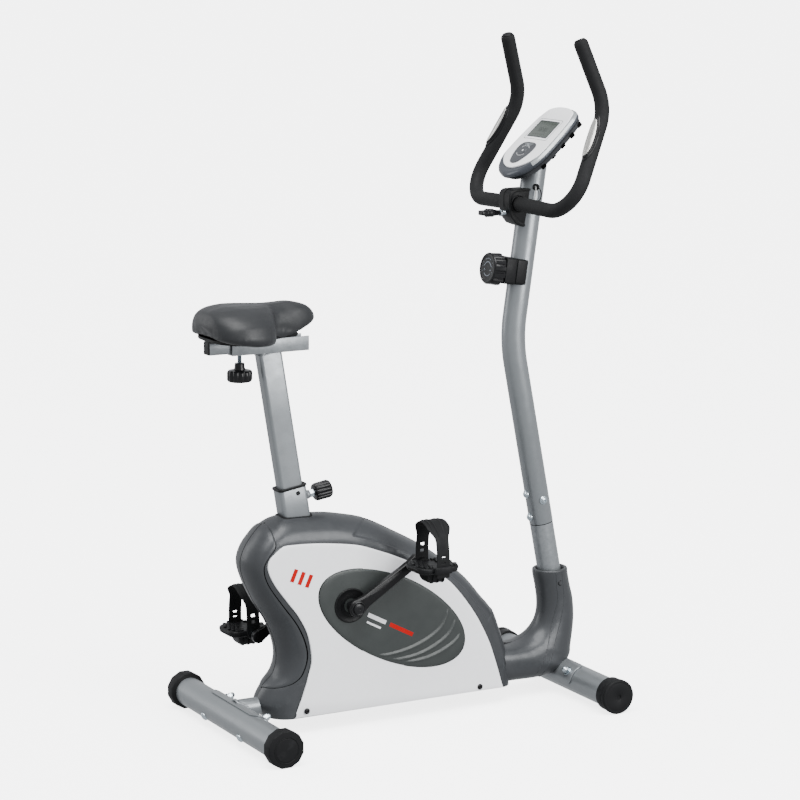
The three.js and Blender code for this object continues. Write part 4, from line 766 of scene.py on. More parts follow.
def make_oval_covers():
    """The grey oval covers round the cranks, with their ridges and a ring of painted shade round each."""
    rings = []
    for reach, height in [(1.012, 2.5), (1.008, 4.1), (1.002, 5.1), (0.99, 5.6)]:
        rings.append([side_place(*oval_point(reach, 2 * pi * step / 120), height) for step in range(120)])
    for step_in in range(1, 20):
        reach = 0.985 - 0.96 * step_in / 19
        rings.append([side_place(*oval_point(reach, 2 * pi * step / 120),
                                 oval_crown(reach)) for step in range(120)])
    parts = [rings_mesh("oval", rings, caps=(False, True))]
    ridges = [
        [(-92, 141), (-47, 140.5), (-4, 146.4), (38.7, 161), (72, 182), (88, 208), (92.5, 240)],
        [(-55, 126.5), (6.5, 129.5), (53, 143), (91, 166), (108, 193), (113.5, 216)],
        [(-22, 117.5), (38.8, 121.8), (87.5, 138), (118, 160), (129, 186)],
    ]
    for index, corners in enumerate(ridges):
        line = smooth_curve([(x, z, 0) for x, z in corners], 60)
        rows = []
        for step, p in enumerate(line):
            along = (line[min(step + 1, 60)] - line[max(step - 1, 0)]).normalized()
            outward = Vector((along.y, -along.x, 0))
            share = sin(pi * step / 60) ** 0.45
            row = []
            for offset, rise in ((-9.5, -0.4), (-6.5, 0.3), (-3.2, 1.0), (-0.8, 1.4), (0.6, 1.2),
                                 (1.4, 0.3), (1.8, -0.9)):
                q = p + outward * offset * (0.5 + 0.5 * share)
                x, z = q.x - OVAL_CENTRE[0], q.y - OVAL_CENTRE[1]
                a = (x * cos(OVAL_TILT) + z * sin(OVAL_TILT)) / OVAL_AXES[0]
                b = (-x * sin(OVAL_TILT) + z * cos(OVAL_TILT)) / OVAL_AXES[1]
                reach = hypot(a, b)
                inside = min(1, 0.965 / reach)
                edge = 1 - ease(reach, 0.90, 0.97)
                row.append(side_place(OVAL_CENTRE[0] + x * inside, OVAL_CENTRE[1] + z * inside,
                                      oval_crown(min(reach, 0.965)) + 1.9 * rise * share * edge - 0.3))
            rows.append(row)
        parts.append(rings_mesh(f"ridge{index}", rows, closed=False))
    on_sides("oval_cover", joined("oval_cover", parts), OVAL, slot="grey_shell", smooth=60)
    # A near-black ring of painted shade in the gap round the oval cover.
    rim = [(x, z) for x, z in (oval_point(1.016, 2 * pi * step / 120) for step in range(120))]
    on_sides("oval_gap_shade", slab("oval_gap_shade", rim, side_place, 2.6, 4.35), PAINTED_SHADE, slot="grey_shell")

    hub = (-136.5, -SHELL_HALF, 256.4)
    disc = lathe("hub_disc", hub, (0, -1, 0), [
        (4, 36), (8.0, 36), (8.9, 35.2), (9.2, 34), (8.4, 33), (8.3, 24), (7.6, 23.4), (7.6, 22.4), (8.2, 22),
        (7.6, 15), (4.5, 13.5), (4.0, 12)], 72)
    on_sides("hub_disc", disc, BLACK, slot="black_plastic")
    axle = lathe("axle_end", (-135, 0, 256), (0, -1, 0), [(58, 11), (79, 11), (79.5, 10.4), (82, 10.4)], 40)
    on_sides("crank_axle_end", axle, COATED_STEEL, "crank", slot="black_steel")


def make_graphics():
    """Plain slanted bars where the object carries its printed decoration."""
    def print_bars(name, bars, height, material):
        parts = []
        for corners in bars:
            parts.append(slab("bar", corners, side_place, height - 0.4, height))
        on_sides(name, joined(name, parts), material, slot="white_panel", smooth=30)

    def bar(x, z, length, wide, tilt, lean):
        along = (cos(radians(tilt)), sin(radians(tilt)))
        up = (cos(radians(lean)), sin(radians(lean)))
        return [(x + along[0] * a + up[0] * b, z + along[1] * a + up[1] * b)
                for a, b in ((0, 0), (length, 0), (length, wide), (0, wide))]

    slants = [bar(-271 + 16.5 * step, 321 - 7.5 * step, 8.5, 27, -22, 66) for step in range(3)]
    print_bars("red_slants", slants, 4.42, RED)
    print_bars("white_stripe", [bar(-99, 228.5, 46, 8.5, -28, 62), bar(-101, 215.5, 36, 4.2, -28, 62)],
               7.55, WHITE)
    print_bars("red_stripe", [bar(-49, 202, 60, 8.5, -28, 62)], 7.5, RED)


# ---------------------------------------------------------------- boot at the foot of the post
BOOT_SECTIONS = [  # upper or rear edge, lower or front edge, half width
    ((335.2, 261), (409.3, 263.5), 37), ((334.6, 259), (409.9, 261.5), 37.6),
    ((335.5, 248), (411, 252), 37.2),
    ((341, 222), (417, 224), 36.4), ((344.6, 195), (423.5, 200), 36.2), ((344.4, 172), (426.4, 176), 37),
    ((339, 153), (427, 150), 38.6), ((329, 138), (424, 122), 41), ((315, 125), (418, 92), 44.5),
    ((300, 117), (412, 72), 47.5), ((287, 113), (385, 46), 49.5), ((275, 111), (340, 34), 50.5),
    ((262.6, 110), (263.4, 34), 50.5), ((248, 110.5), (248.5, 34), 50), ((236, 111), (237, 34), 49),
]
BOOT_CREASES = {
    "rear": [(366, 260), (370, 225), (372, 196), (360, 150), (341, 102), (311, 40)],
    "front": [(381, 260), (385, 225), (387, 196), (376, 150), (357, 101), (327, 37)],
}


def make_boot():
    """The moulded boot that joins the casing to the foot of the post."""
    fine = []
    keys = [Vector((a[0], a[1], 0)) for a, _, _ in BOOT_SECTIONS]
    others = [Vector((b[0], b[1], 0)) for _, b, _ in BOOT_SECTIONS]
    widths = [w for _, _, w in BOOT_SECTIONS]
    steps = 9
    for index in range(len(keys) - 1):
        for step in range(steps if index < len(keys) - 2 else steps + 1):
            t = step / steps
            points = []
            for row in (keys, others):
                p0, p1 = row[max(index - 1, 0)], row[index]
                p2, p3 = row[index + 1], row[min(index + 2, len(row) - 1)]
                points.append(0.5 * (2 * p1 + (p2 - p0) * t + (2 * p0 - 5 * p1 + 4 * p2 - p3) * t * t
                                     + (3 * p1 - p0 - 3 * p2 + p3) * t ** 3))
            fine.append((index + t, points[0], points[1],
                         widths[index] + (widths[index + 1] - widths[index]) * t))

    def width_at(u, half, z):
        """The half width, spread where the boot sits over the stabiliser."""
        return half + 19 * ease(92 - z, 0, 58) ** 1.4 * (1 - ease(u, 8.6, 11.2))

    around = 104
    rings = []
    for u, top, bottom, half in fine:
        centre, arm = (top + bottom) / 2, (bottom - top) / 2
        power = 2.0 + 1.1 * ease(u, 6.5, 12)
        ring = []
        for step in range(around):
            angle = 2 * pi * step / around
            c, s = cos(angle), sin(angle)
            bulge = (abs(c) ** power + abs(s) ** power) ** (-1 / power)
            x, z = centre.x + arm.x * c * bulge, centre.y + arm.y * c * bulge
            ring.append(Vector((x, width_at(u, half, z) * s * bulge, z)))
        rings.append(ring)

    def on_boot(x, z):
        """The place on the boot's right side that is seen at x, z."""
        best = None
        for u, top, bottom, half in fine:
            centre, arm = (top + bottom) / 2, (bottom - top) / 2
            offset = Vector((x, z, 0)) - centre
            share = offset.dot(arm) / arm.length_squared
            miss = (offset - arm * share).length
            if best is None or miss < best[0]:
                power = 2.0 + 1.1 * ease(u, 6.5, 12)
                reach = max(0, 1 - abs(min(1, max(-1, share))) ** power) ** (1 / power)
                best = (miss, width_at(u, half, z) * reach)
        return Vector((x, -best[1], z))

    for name, corners in BOOT_CREASES.items():
        line = [on_boot(p.x, p.y) for p in smooth_curve([(x, z, 0) for x, z in corners], 90)]
        line = smooth_curve(line[::5] + [line[-1]], 90)
        section = [(1.1 * cos(2 * pi * k / 10), 0.75 * sin(2 * pi * k / 10)) for k in range(10)]
        on_sides(f"boot_crease_{name}", swept("crease", line, section, (1, 0, 0)), SHELL, slot="grey_shell")
    lip = rings[0]
    centre = sum(lip, Vector()) / around
    inner = [[p.lerp(centre, share) + Vector((0, 0, drop)) for p in lip]
             for share, drop in ((0.03, 1.2), (0.08, 1.7), (0.15, 1.2), (0.20, -0.8), (0.215, -14))]
    skin = rings_mesh("boot", [*reversed(inner), *rings])
    halves = {}
    for side, sign in SIDES.items():
        cut = bmesh.new()
        cut.from_mesh(skin)
        geometry = cut.verts[:] + cut.edges[:] + cut.faces[:]
        bmesh.ops.bisect_plane(cut, geom=geometry, plane_co=(0, sign * 0.00025, 0), plane_no=(0, -sign, 0),
                               clear_outer=True)
        half = bpy.data.meshes.new(f"boot_{side}")
        cut.to_mesh(half)
        cut.free()
        halves[side] = piece(f"boot_skin_{side}", half, SHELL, slot="grey_shell", stands_for=f"boot_{side}",
                             smooth=50)
    for side, sign in SIDES.items():
        at = Vector((377, sign * 34.6, 236))
        cup = lathe("boot_cup", at, (0.25, sign, 0),
                    [(-3, 6), (2.2, 6), (2.6, 5.4), (2.4, 4.2), (-2, 4), (-2.4, 0.01)], 28)
        piece(f"boot_screw_cup_{side}", cup, GLOSS_BLACK, slot="black_plastic")
        head = lathe("boot_screw", at, (0.25, sign, 0), [(-2, 3.7), (0.4, 3.6), (1.4, 2.6), (1.7, 0.01)], 24)
        piece(f"boot_screw_{side}", head, ZINC, slot="zinc")


# ---------------------------------------------------------------- posts and stabilisers
POST_JOINT = (350.1, 365.2)
POST_BEND = (274.2, 760.3)
POST_TOP = (333.5, 1168)
POST_RADIUS = 25


def on_lower_post(z, forward=0.0, y=0.0):
    """A place on the lower post, at a height."""
    down = Vector((POST_BEND[0] - POST_JOINT[0], 0, POST_BEND[1] - POST_JOINT[1])).normalized()
    x = POST_JOINT[0] + (z - POST_JOINT[1]) * down.x / down.z
    return Vector((x + forward * down.z, y, z - forward * down.x))


def on_upper_post(z, forward=0.0, y=0.0):
    """A place on the upper post, at a height."""
    up = Vector((POST_TOP[0] - POST_BEND[0], 0, POST_TOP[1] - POST_BEND[1])).normalized()
    x = POST_BEND[0] + (z - POST_BEND[1]) * up.x / up.z
    return Vector((x + forward * up.z, y, z - forward * up.x))


def make_posts():
    """The lower and upper posts, and a ring of painted shade at the seam between them."""
    line = filleted([((384, 0, 66), 0), (on_lower_post(150), 80), (on_lower_post(364.4), 0)])
    piece("lower_post_tube",
          swept("lower_post", line, circle(POST_RADIUS - 0.35, 56), bore=circle(POST_RADIUS - 3, 56)),
          SILVER, slot="silver_paint", stands_for="lower_post")
    line = filleted([(on_lower_post(365.6), 0), ((POST_BEND[0], 0, POST_BEND[1]), 300),
                     (on_upper_post(1163), 0)], 8)
    tube = swept("upper_post", line, circle(POST_RADIUS, 56), bore=circle(POST_RADIUS - 1.6, 56))
    piece("upper_post_tube", tube, SILVER, slot="silver_paint", stands_for="upper_post", bevel=(0.5, 2))
    # A near-black ring of painted shade at the seam where the posts join.
    ring = lathe("post_seam", on_lower_post(364.2), on_lower_post(366) - on_lower_post(365),
                 [(0, POST_RADIUS - 1), (0, POST_RADIUS - 0.25), (1.6, POST_RADIUS - 0.25),
                  (1.6, POST_RADIUS - 1)], 56)
    piece("post_joint_seam_shade", ring, PAINTED_SHADE, slot="silver_paint")


AXIS_HEIGHT = 36.5
TUBE_RADIUS = 30
REAR_X, FRONT_X = -370, 393.7
BEAM_RADIUS, BEAM_HEIGHT = 18, 55.5
BOLT_ANGLES = {"rear": (REAR_X, radians(30)), "front": (FRONT_X, radians(143))}


def along_bolt(axis_x, angle, distance, y):
    """A place on the line of a stabiliser bolt."""
    return Vector((axis_x + distance * cos(angle), y, AXIS_HEIGHT + distance * sin(angle)))


def make_stabilisers():
    """The two floor tubes."""
    for name, axis_x, end in (("rear", REAR_X, 240), ("front", FRONT_X, 226.5)):
        line = [Vector((axis_x, -end + 2 * end * step / 12, AXIS_HEIGHT)) for step in range(13)]
        tube = swept(name, line, circle(TUBE_RADIUS, 64), (1, 0, 0), bore=circle(TUBE_RADIUS - 1.8, 64))
        piece(f"{name}_stabiliser_tube", tube, SILVER, slot="silver_paint", stands_for=f"{name}_stabiliser")


def saddle_plate(axis_x, start, end, half_width, corner):
    """A curved plate on a stabiliser tube, its corners rounded, its edges standing 3 mm proud."""
    columns, rows = 40, 28
    layers = []
    for radius in (TUBE_RADIUS + 0.3, TUBE_RADIUS + 3.2):
        layer = []
        for row in range(rows + 1):
            share = row / rows
            arc = radians(end - start) * radius
            along = share * arc
            inset = 0.0
            for side in (along, arc - along):
                if side < corner:
                    inset = max(inset, corner - sqrt(max(0, corner ** 2 - (corner - side) ** 2)))
            angle = radians(start + (end - start) * share)
            reach = half_width - inset
            layer.append([Vector((axis_x + radius * cos(angle), -reach + 2 * reach * column / columns,
                                  AXIS_HEIGHT + radius * sin(angle))) for column in range(columns + 1)])
        layers.append(layer)
    inner, outer = layers
    rings = []
    for row in range(rows + 1):
        rings.append(inner[row] + list(reversed(outer[row])))
    return rings_mesh("plate", rings, caps=(True, True))


def make_beam():
    """The low tube between the stabilisers, its two saddle plates and their welds."""
    line = [Vector((x, 0, BEAM_HEIGHT)) for x in range(-360, 382, 14)]
    parts = [swept("beam", line, circle(BEAM_RADIUS, 44), (0, 1, 0))]
    parts.append(saddle_plate(REAR_X, -12, 100, 105, 16))
    parts.append(saddle_plate(FRONT_X, 84, 192, 105, 16))
    piece("main_beam_tube", joined("beam", parts), SILVER, slot="silver_paint", stands_for="main_beam",
          bevel=(0.7, 2))
    for name, axis_x, sign in (("rear", REAR_X, 1), ("front", FRONT_X, -1)):
        weld = []
        for step in range(49):
            angle = -pi * 0.1 + 1.2 * pi * step / 48
            y, z = BEAM_RADIUS * cos(angle), BEAM_HEIGHT + BEAM_RADIUS * sin(angle)
            x = axis_x + sign * sqrt(max(30, (TUBE_RADIUS + 3.5) ** 2 - (z - AXIS_HEIGHT) ** 2))
            wobble = 0.5 * sin(step * 1.9)
            weld.append(Vector((x + sign * wobble, y, z)))
        piece(f"{name}_beam_weld", swept("weld", weld, circle(2.8, 10), (1, 0, 0)), SILVER,
              slot="silver_paint")


def hex_ring(corners=6):
    """The shape of a bar with flats: how far its side lies out at an angle."""
    def reach(angle, _, r):
        sector = (angle % (2 * pi / corners)) - pi / corners
        flat = r * cos(pi / corners) / cos(sector)
        return min(flat, r * 0.985)
    return reach


def make_fasteners():
    """Bolts, washers and nuts of the stabilisers and the post."""
    for name, (axis_x, angle) in BOLT_ANGLES.items():
        for side, sign in SIDES.items():
            y = 85 * sign
            outward = Vector((cos(angle), 0, sin(angle)))
            nut_at = along_bolt(axis_x, angle, TUBE_RADIUS + 3.3, y)
            washer = lathe("washer", nut_at, outward, [(0, 9.6), (1.7, 9.6), (2, 9.2), (2, 4)], 36)
            nut = lathe("nut", nut_at, outward,
                        [(2.0, 6.6), (2.6, 7.6), (8.2, 7.6), (8.9, 6.7), (9.0, 5.9)], 48, hex_ring())
            dome = lathe("dome", nut_at, outward,
                         [(8.8, 5.9), (11, 5.6), (13, 4.6), (14.4, 2.9), (15, 1.2), (15.1, 0.01)], 32)
            head_at = along_bolt(axis_x, angle, -TUBE_RADIUS, y)
            head = lathe("head", head_at, -outward,
                         [(-1, 9.4), (0.4, 9.4), (1.6, 8.9), (3.2, 7.2), (4.3, 4.6), (4.8, 2), (4.9, 0.01)],
                         36)
            piece(f"{name}_cap_nut_{side}", joined("cap_nut", [washer, nut, dome, head]), ZINC, slot="zinc",
                  stands_for=f"{name}_bolt_{side}", smooth=35)
    heads = {"post_bolt_rear_upper": (on_lower_post(432, -POST_RADIUS),
                                      on_lower_post(432, 1) - on_lower_post(432)),
             "post_bolt_rear_lower": (on_lower_post(382, -POST_RADIUS),
                                      on_lower_post(382, 1) - on_lower_post(382))}
    for name, (at, inward) in heads.items():
        piece(f"{name}_head", button_head(at, -inward), ZINC, slot="zinc", stands_for=name, smooth=35)
    both = [button_head(on_lower_post(416.6, 0, sign * POST_RADIUS), (0, sign, 0)) for sign in (1, -1)]
    piece("post_bolt_side_heads", joined("side_heads", both), ZINC, slot="zinc",
          stands_for="post_bolt_side", smooth=35)


def button_head(at, outward):
    """A domed washer and a button head with a hexagon socket."""
    socket = hex_ring()

    def reach(angle, distance, radius):
        return socket(angle, distance, radius) if radius < 2.6 else radius

    return lathe("button_head", at, outward, [
        (-0.8, 9), (0.8, 9), (1.7, 8.3), (2.3, 7), (2.3, 6.6), (3.6, 6.4), (4.9, 5.3), (5.5, 3.9),
        (5.5, 2.5), (3.6, 2.4),
        (3.5, 0.01)], 36, reach)


def make_floor_caps():
    """Rear levelling caps and front transport wheels."""
    corners = []
    reach = [AXIS_HEIGHT + 0.3 * min(step, 12 - step) for step in range(13)]
    for step in range(12):
        angle = radians(-90 + 30 * step)
        slide = (reach[step + 1] - reach[step] * cos(pi / 6)) / sin(pi / 6)
        corners.append((REAR_X + reach[step] * cos(angle) - slide * sin(angle),
                        AXIS_HEIGHT + reach[step] * sin(angle) + slide * cos(angle)))

    def scaled(factor, y):
        return [Vector((REAR_X + (x - REAR_X) * factor, y, AXIS_HEIGHT + (z - AXIS_HEIGHT) * factor)) for x,
                z in corners]

    def round_ring(radius, y):
        ring = []
        for step in range(12):
            x, z = corners[step]
            angle = atan2(z - AXIS_HEIGHT, x - REAR_X)
            ring.append(Vector((REAR_X + radius * cos(angle), y, AXIS_HEIGHT + radius * sin(angle))))
        return ring

    rings = [round_ring(30.4, -232), round_ring(30.4, -215.7), round_ring(32.4, -215.7),
             round_ring(32.8, -217),
             scaled(0.955, -218.5), scaled(1, -221), scaled(1, -243.6), scaled(0.975, -245.7),
             scaled(0.93, -246)]
    body = rings_mesh("rear_cap", rings, caps=(False, True))
    disc = lathe("cap_disc", (REAR_X, -245.2, AXIS_HEIGHT), (0, -1, 0),
                 [(0, 26.5), (1.5, 26.5), (1.9, 26.0), (0.7, 25.2), (0.6, 24.2), (1.3, 23.4), (1.4, 22.4),
                  (1.3, 0.01)], 60)
    for side, sign in SIDES.items():
        mesh = joined("rear_cap", [body, disc])
        own = mesh if sign < 0 else mirrored(mesh)
        piece(f"rear_cap_body_{side}", own, RUBBER, f"rear_cap_{side}", slot="rubber",
              stands_for=f"rear_cap_{side}",
              smooth=22, bevel=(0.8, 2))

    sleeve = lathe("front_cap", (FRONT_X, -209, AXIS_HEIGHT), (0, -1, 0), [
        (2, 30.3), (0, 30.8), (0, 34.2), (0.9, 35.1), (20.5, 35.5), (22.2, 34.4), (22.2, 20)], 72)
    on_sides("front_cap_sleeve", sleeve, BLACK, slot="black_plastic", stands_for="front_cap_{}")
    wheel = lathe("wheel", (FRONT_X, -231.8, AXIS_HEIGHT), (0, -1, 0), [
        (0, 20), (0, 34.8), (0.8, 36.2), (2, 36.5), (9.4, 36.5), (10.8, 35.8), (11.6, 34.2), (11.7, 31),
        (11.5, 30.4),
        (11.7, 29.8), (11.7, 6.4), (11.2, 5.6), (10.0, 5.2), (10.0, 4.6), (9.4, 4.2), (9.2, 0.01)], 80)
    for side, sign in SIDES.items():
        own = wheel.copy() if sign < 0 else mirrored(wheel)
        piece(f"transport_wheel_tyre_{side}", own, RUBBER, f"wheel_{side}", slot="rubber",
              stands_for=f"transport_wheel_{side}", smooth=35)


# ---------------------------------------------------------------- seat tube and seat post
SEAT_FOOT = (-231.8, 443)
SEAT_SLOPE = 0.1617
SEAT_FORWARD = Vector((1, 0, SEAT_SLOPE)).normalized()


def on_seat_axis(z, forward=0.0, y=0.0):
    """A place on the seat tube's axis, at a height."""
    return Vector((SEAT_FOOT[0] - (z - SEAT_FOOT[1]) * SEAT_SLOPE, y, z)) + SEAT_FORWARD * forward


def seat_bar(name, z_low, z_high, size, bore=None, steps=2):
    """A leaning rectangular tube with rounded corners, open inside if a bore is given."""
    line = [on_seat_axis(z_low + (z_high - z_low) * step / steps) for step in range(steps + 1)]
    section = rounded_rectangle(*size)
    inner = rounded_rectangle(*bore) if bore else None
    return swept(name, line, section, SEAT_FORWARD, bore=inner)


def make_seat_tube():
    """The seat tube, its sleeve and the gasket where it leaves the casing."""
    tube = seat_bar("seat_tube", 425, 498, (60, 40, 8.5), (56, 36, 7))
    boss = lathe("pin_boss", on_seat_axis(474, 28.5), SEAT_FORWARD,
                 [(0, 13), (1.6, 12.6), (3, 11), (4.4, 9.6), (9.5, 8.8), (11, 8.4), (11, 5)], 40)
    piece("seat_tube_collar", joined("seat_tube", [tube, boss]), SILVER, slot="silver_paint",
          stands_for="seat_tube", bevel=(0.5, 2))
    lip = []
    for z, grow in ((496, -2), (498.2, 1.2), (499, 2.0), (501.6, 2.2), (502.6, 1.4), (502.8, -1.5),
                    (502.4, -4.4), (500, -4.6), (470, -4.6)):
        section = rounded_rectangle(60 + 2 * grow, 40 + 2 * grow, 8.5 + grow)
        at = on_seat_axis(z)
        lip.append([at + SEAT_FORWARD * a + Vector((0, b, 0)) for a, b in section])
    piece("seat_sleeve_lip", rings_mesh("sleeve", lip), BLACK, slot="black_plastic", stands_for="seat_sleeve")
    gasket = []
    for height, grow in ((-6, 0.2), (-6, 3.8), (0.6, 4.4), (1.9, 3.6), (2.2, 2.2), (1.7, 0.8), (0.5, 0.2)):
        section = rounded_rectangle(60 + 2 * grow, 40 + 2 * grow, 9 + grow)
        at = on_seat_axis(442.5)
        gasket.append([at + Vector((a * 1.013, b, height - 3.6 * (b / 22) ** 2 - a * 0.025)) for a,
                       b in section])
    piece("seat_tube_gasket", rings_mesh("gasket", gasket), RUBBER, slot="rubber")
    screw = lathe("collar_screw", on_seat_axis(487.5, 8, -20), (0, -1, 0),
                  [(-1, 4.6), (0.5, 4.6), (1.1, 4.2), (1.1, 3.4), (0.2, 2.6), (0.2, 0.01)], 28)
    piece("collar_screw", screw, GLOSS_BLACK, slot="black_plastic")


def make_seat_post():
    """The seat post, its pin holes drawn as shallow cups of painted shade, and the channel that holds the
    saddle rail.
    """
    tube = seat_bar("seat_post", 257, 779, (50, 30, 7), (46.4, 26.4, 5.4), steps=4)
    rail = []
    for x in (-372, -204):
        rail.append([Vector((x, y, z)) for y, z in (
            (-19, 777), (19, 777), (19, 806), (16.5, 806), (16.5, 779.5), (-16.5, 779.5), (-16.5, 806),
            (-19, 806))])
    channel = rings_mesh("channel", rail, caps=(True, True))
    weld = []
    for a, b in rounded_rectangle(51, 31, 7, 5) + [rounded_rectangle(51, 31, 7, 5)[0]]:
        weld.append(on_seat_axis(776.4, a, b))
    bead = swept("weld", weld, circle(1.5, 8), (0, 0, 1))
    tabs = [domed_slab("tab", rounded_rectangle(30, 5.6, 2, 3), lambda a, b,
                       h: Vector((-238 + a, side * h, 808.4 + b)),
                       16.5, 19.4, rounding=0.6, steps=2, rings_in=1) for side in (1, -1)]
    piece("seat_post_tube", joined("seat_post", [tube, channel, bead, *tabs]), SILVER, "seat_post",
          slot="silver_paint",
          stands_for="seat_post", bevel=(0.8, 2))
    # The pin holes are shallow near-black cups of painted shade.
    holes = []
    for step in range(8):
        at = on_seat_axis(424 + 25 * step, 25)
        holes.append(lathe("pin_hole", at, SEAT_FORWARD,
                           [(-1, 4.9), (0.15, 4.9), (0.12, 3.9), (-1.2, 3.7), (-1.2, 0.01)], 24))
    piece("seat_post_pin_hole_shade", joined("holes", holes), PAINTED_SHADE, "seat_post", slot="silver_paint")


def fluting(count, depth, reach_low, reach_high, sharp=0.5):
    """Grip lobes round a knob between two distances along its axis."""
    def reach(angle, distance, radius):
        if not reach_low <= distance <= reach_high:
            return radius
        wave = 0.5 + 0.5 * cos(count * angle)
        return radius - depth * (1 - wave ** sharp)
    return reach


def make_height_knob():
    """The knob that pulls the height pin."""
    at = on_seat_axis(474)
    nut = lathe("pin_nut", at, SEAT_FORWARD,
                [(40, 6), (40.2, 8), (41, 8.6), (48.5, 8.6), (49.2, 8), (49.4, 5)], 48, hex_ring())
    piece("height_pin_nut", nut, ZINC, slot="zinc", smooth=35)
    stem = lathe("pin_stem", at, SEAT_FORWARD, [(26, 4.8), (52, 4.8), (52.2, 7.4), (55, 7.4)], 32)
    piece("height_pin_stem", stem, ZINC, "height_knob", slot="zinc")
    profile = [(52, 5), (52, 15.4), (52.8, 16.8), (54, 17.6), (56, 18.2), (82, 18.6), (84.6, 18.2),
               (86.6, 16.6),
               (87.8, 14), (88, 12), (87.6, 11.2), (87.8, 0.01)]
    knob = lathe("height_knob", at, SEAT_FORWARD, profile, 144, fluting(12, 2.6, 53.5, 85.6, 0.35))
    piece("height_knob_grip", knob, GLOSS_BLACK, "height_knob", slot="black_plastic",
          stands_for="height_knob", smooth=38)


def make_saddle_knob():
    """The knob that clamps the saddle rail."""
    at = (-348, 0, 722)
    up = (0, 0, 1)
    profile = [(0, 0.01), (0, 20), (0.6, 22.2), (2.2, 24), (4.4, 25.4), (19, 25.5), (21.4, 24.4), (23, 22),
               (23.6, 14),
               (24.4, 11.6), (30, 10.2), (36.5, 9.8), (37.4, 9), (37.4, 4)]
    knob = lathe("saddle_knob", at, up, profile, 180, fluting(12, 3.0, 2.2, 22, 0.3))
    piece("saddle_knob_grip", knob, GLOSS_BLACK, "saddle_knob", slot="black_plastic",
          stands_for="saddle_knob", smooth=38)
    thread = [(36 + 0.6 * step, 4.0 + 0.35 * (step % 2)) for step in range(33)] + [(55.5, 3.9), (66, 3.9)]
    piece("saddle_knob_bolt", lathe("bolt", at, up, thread, 32), ZINC, "saddle_knob", slot="zinc", smooth=50)


# ---------------------------------------------------------------- cranks, pedals and straps
CRANK = (-135, 256)
CRANK_ARM = 160
CRANK_LEAN = radians(31.5)
PEDAL_OUT = 155


def make_crank_arms():
    """Each arm is drawn for the right side along its own line, then turned into place."""
    def outline(grow=0.0):
        boss, eye = 18.5 + grow, 13.5 + grow
        made = []
        for step in range(25):
            angle = radians(68 + 224 * step / 24)
            made.append((boss * cos(angle), boss * sin(angle)))
        made += [(24, -12.9 - grow), (60, -12.0 - grow), (110, -10.8 - grow), (142, -10.9 - grow)]
        for step in range(19):
            angle = radians(-110 + 220 * step / 18)
            made.append((CRANK_ARM + eye * cos(angle), eye * sin(angle)))
        made += [(142, 10.9 + grow), (110, 10.8 + grow), (60, 12.0 + grow), (24, 12.9 + grow)]
        return made

    for side, sign in SIDES.items():
        lean = CRANK_LEAN if sign < 0 else CRANK_LEAN + pi

        def place(a, b, height, lean=lean, sign=sign):
            return Vector((CRANK[0] + a * cos(lean) - b * sin(lean), sign * (84 + height),
                           CRANK[1] + a * sin(lean) + b * cos(lean)))

        bar = domed_slab("arm", outline(), place, 0, 12, rounding=4.2, dome=0.9, steps=6, rings_in=5)
        back = domed_slab("arm_back", outline(-0.3), lambda a, b, h: place(a, b, -h), 0, 1.4, rounding=1.2,
                          steps=3)
        centre = Vector((CRANK[0], sign * 84, CRANK[1]))
        boss = lathe("boss", centre, (0, sign, 0),
                     [(-1.5, 15), (1, 15.4), (12.4, 15.4), (13.6, 14.8), (14.2, 13.2),
                                                    (13.2, 12.2), (13.0, 11.2), (13.6, 10.8)], 56)
        end = place(CRANK_ARM, 0, 0)
        eye = lathe("eye", end, (0, sign, 0),
                    [(10, 11.6), (12.6, 11.6), (13.6, 10.8), (13.8, 9.6), (13.8, 5)], 44)
        piece(f"crank_arm_bar_{side}", joined("arm", [bar, back, boss, eye]), COATED_STEEL, "crank",
              slot="black_steel", stands_for=f"crank_arm_{side}", smooth=42)
        cap = lathe("dust_cap", centre, (0, sign, 0),
                    [(12.2, 11), (14.4, 11), (15.2, 10.2), (15.9, 7), (16.2, 3.4),
                                                       (15.6, 3.0), (15.5, 0.01)], 48)
        piece(f"crank_dust_cap_{side}", cap, GLOSS_BLACK, "crank", slot="black_plastic", smooth=40)


def pedal_point(sign):
    """The middle of a pedal, at the end of its crank arm."""
    lean = CRANK_LEAN if sign < 0 else CRANK_LEAN + pi
    return Vector((CRANK[0] + CRANK_ARM * cos(lean), sign * PEDAL_OUT, CRANK[1] + CRANK_ARM * sin(lean)))


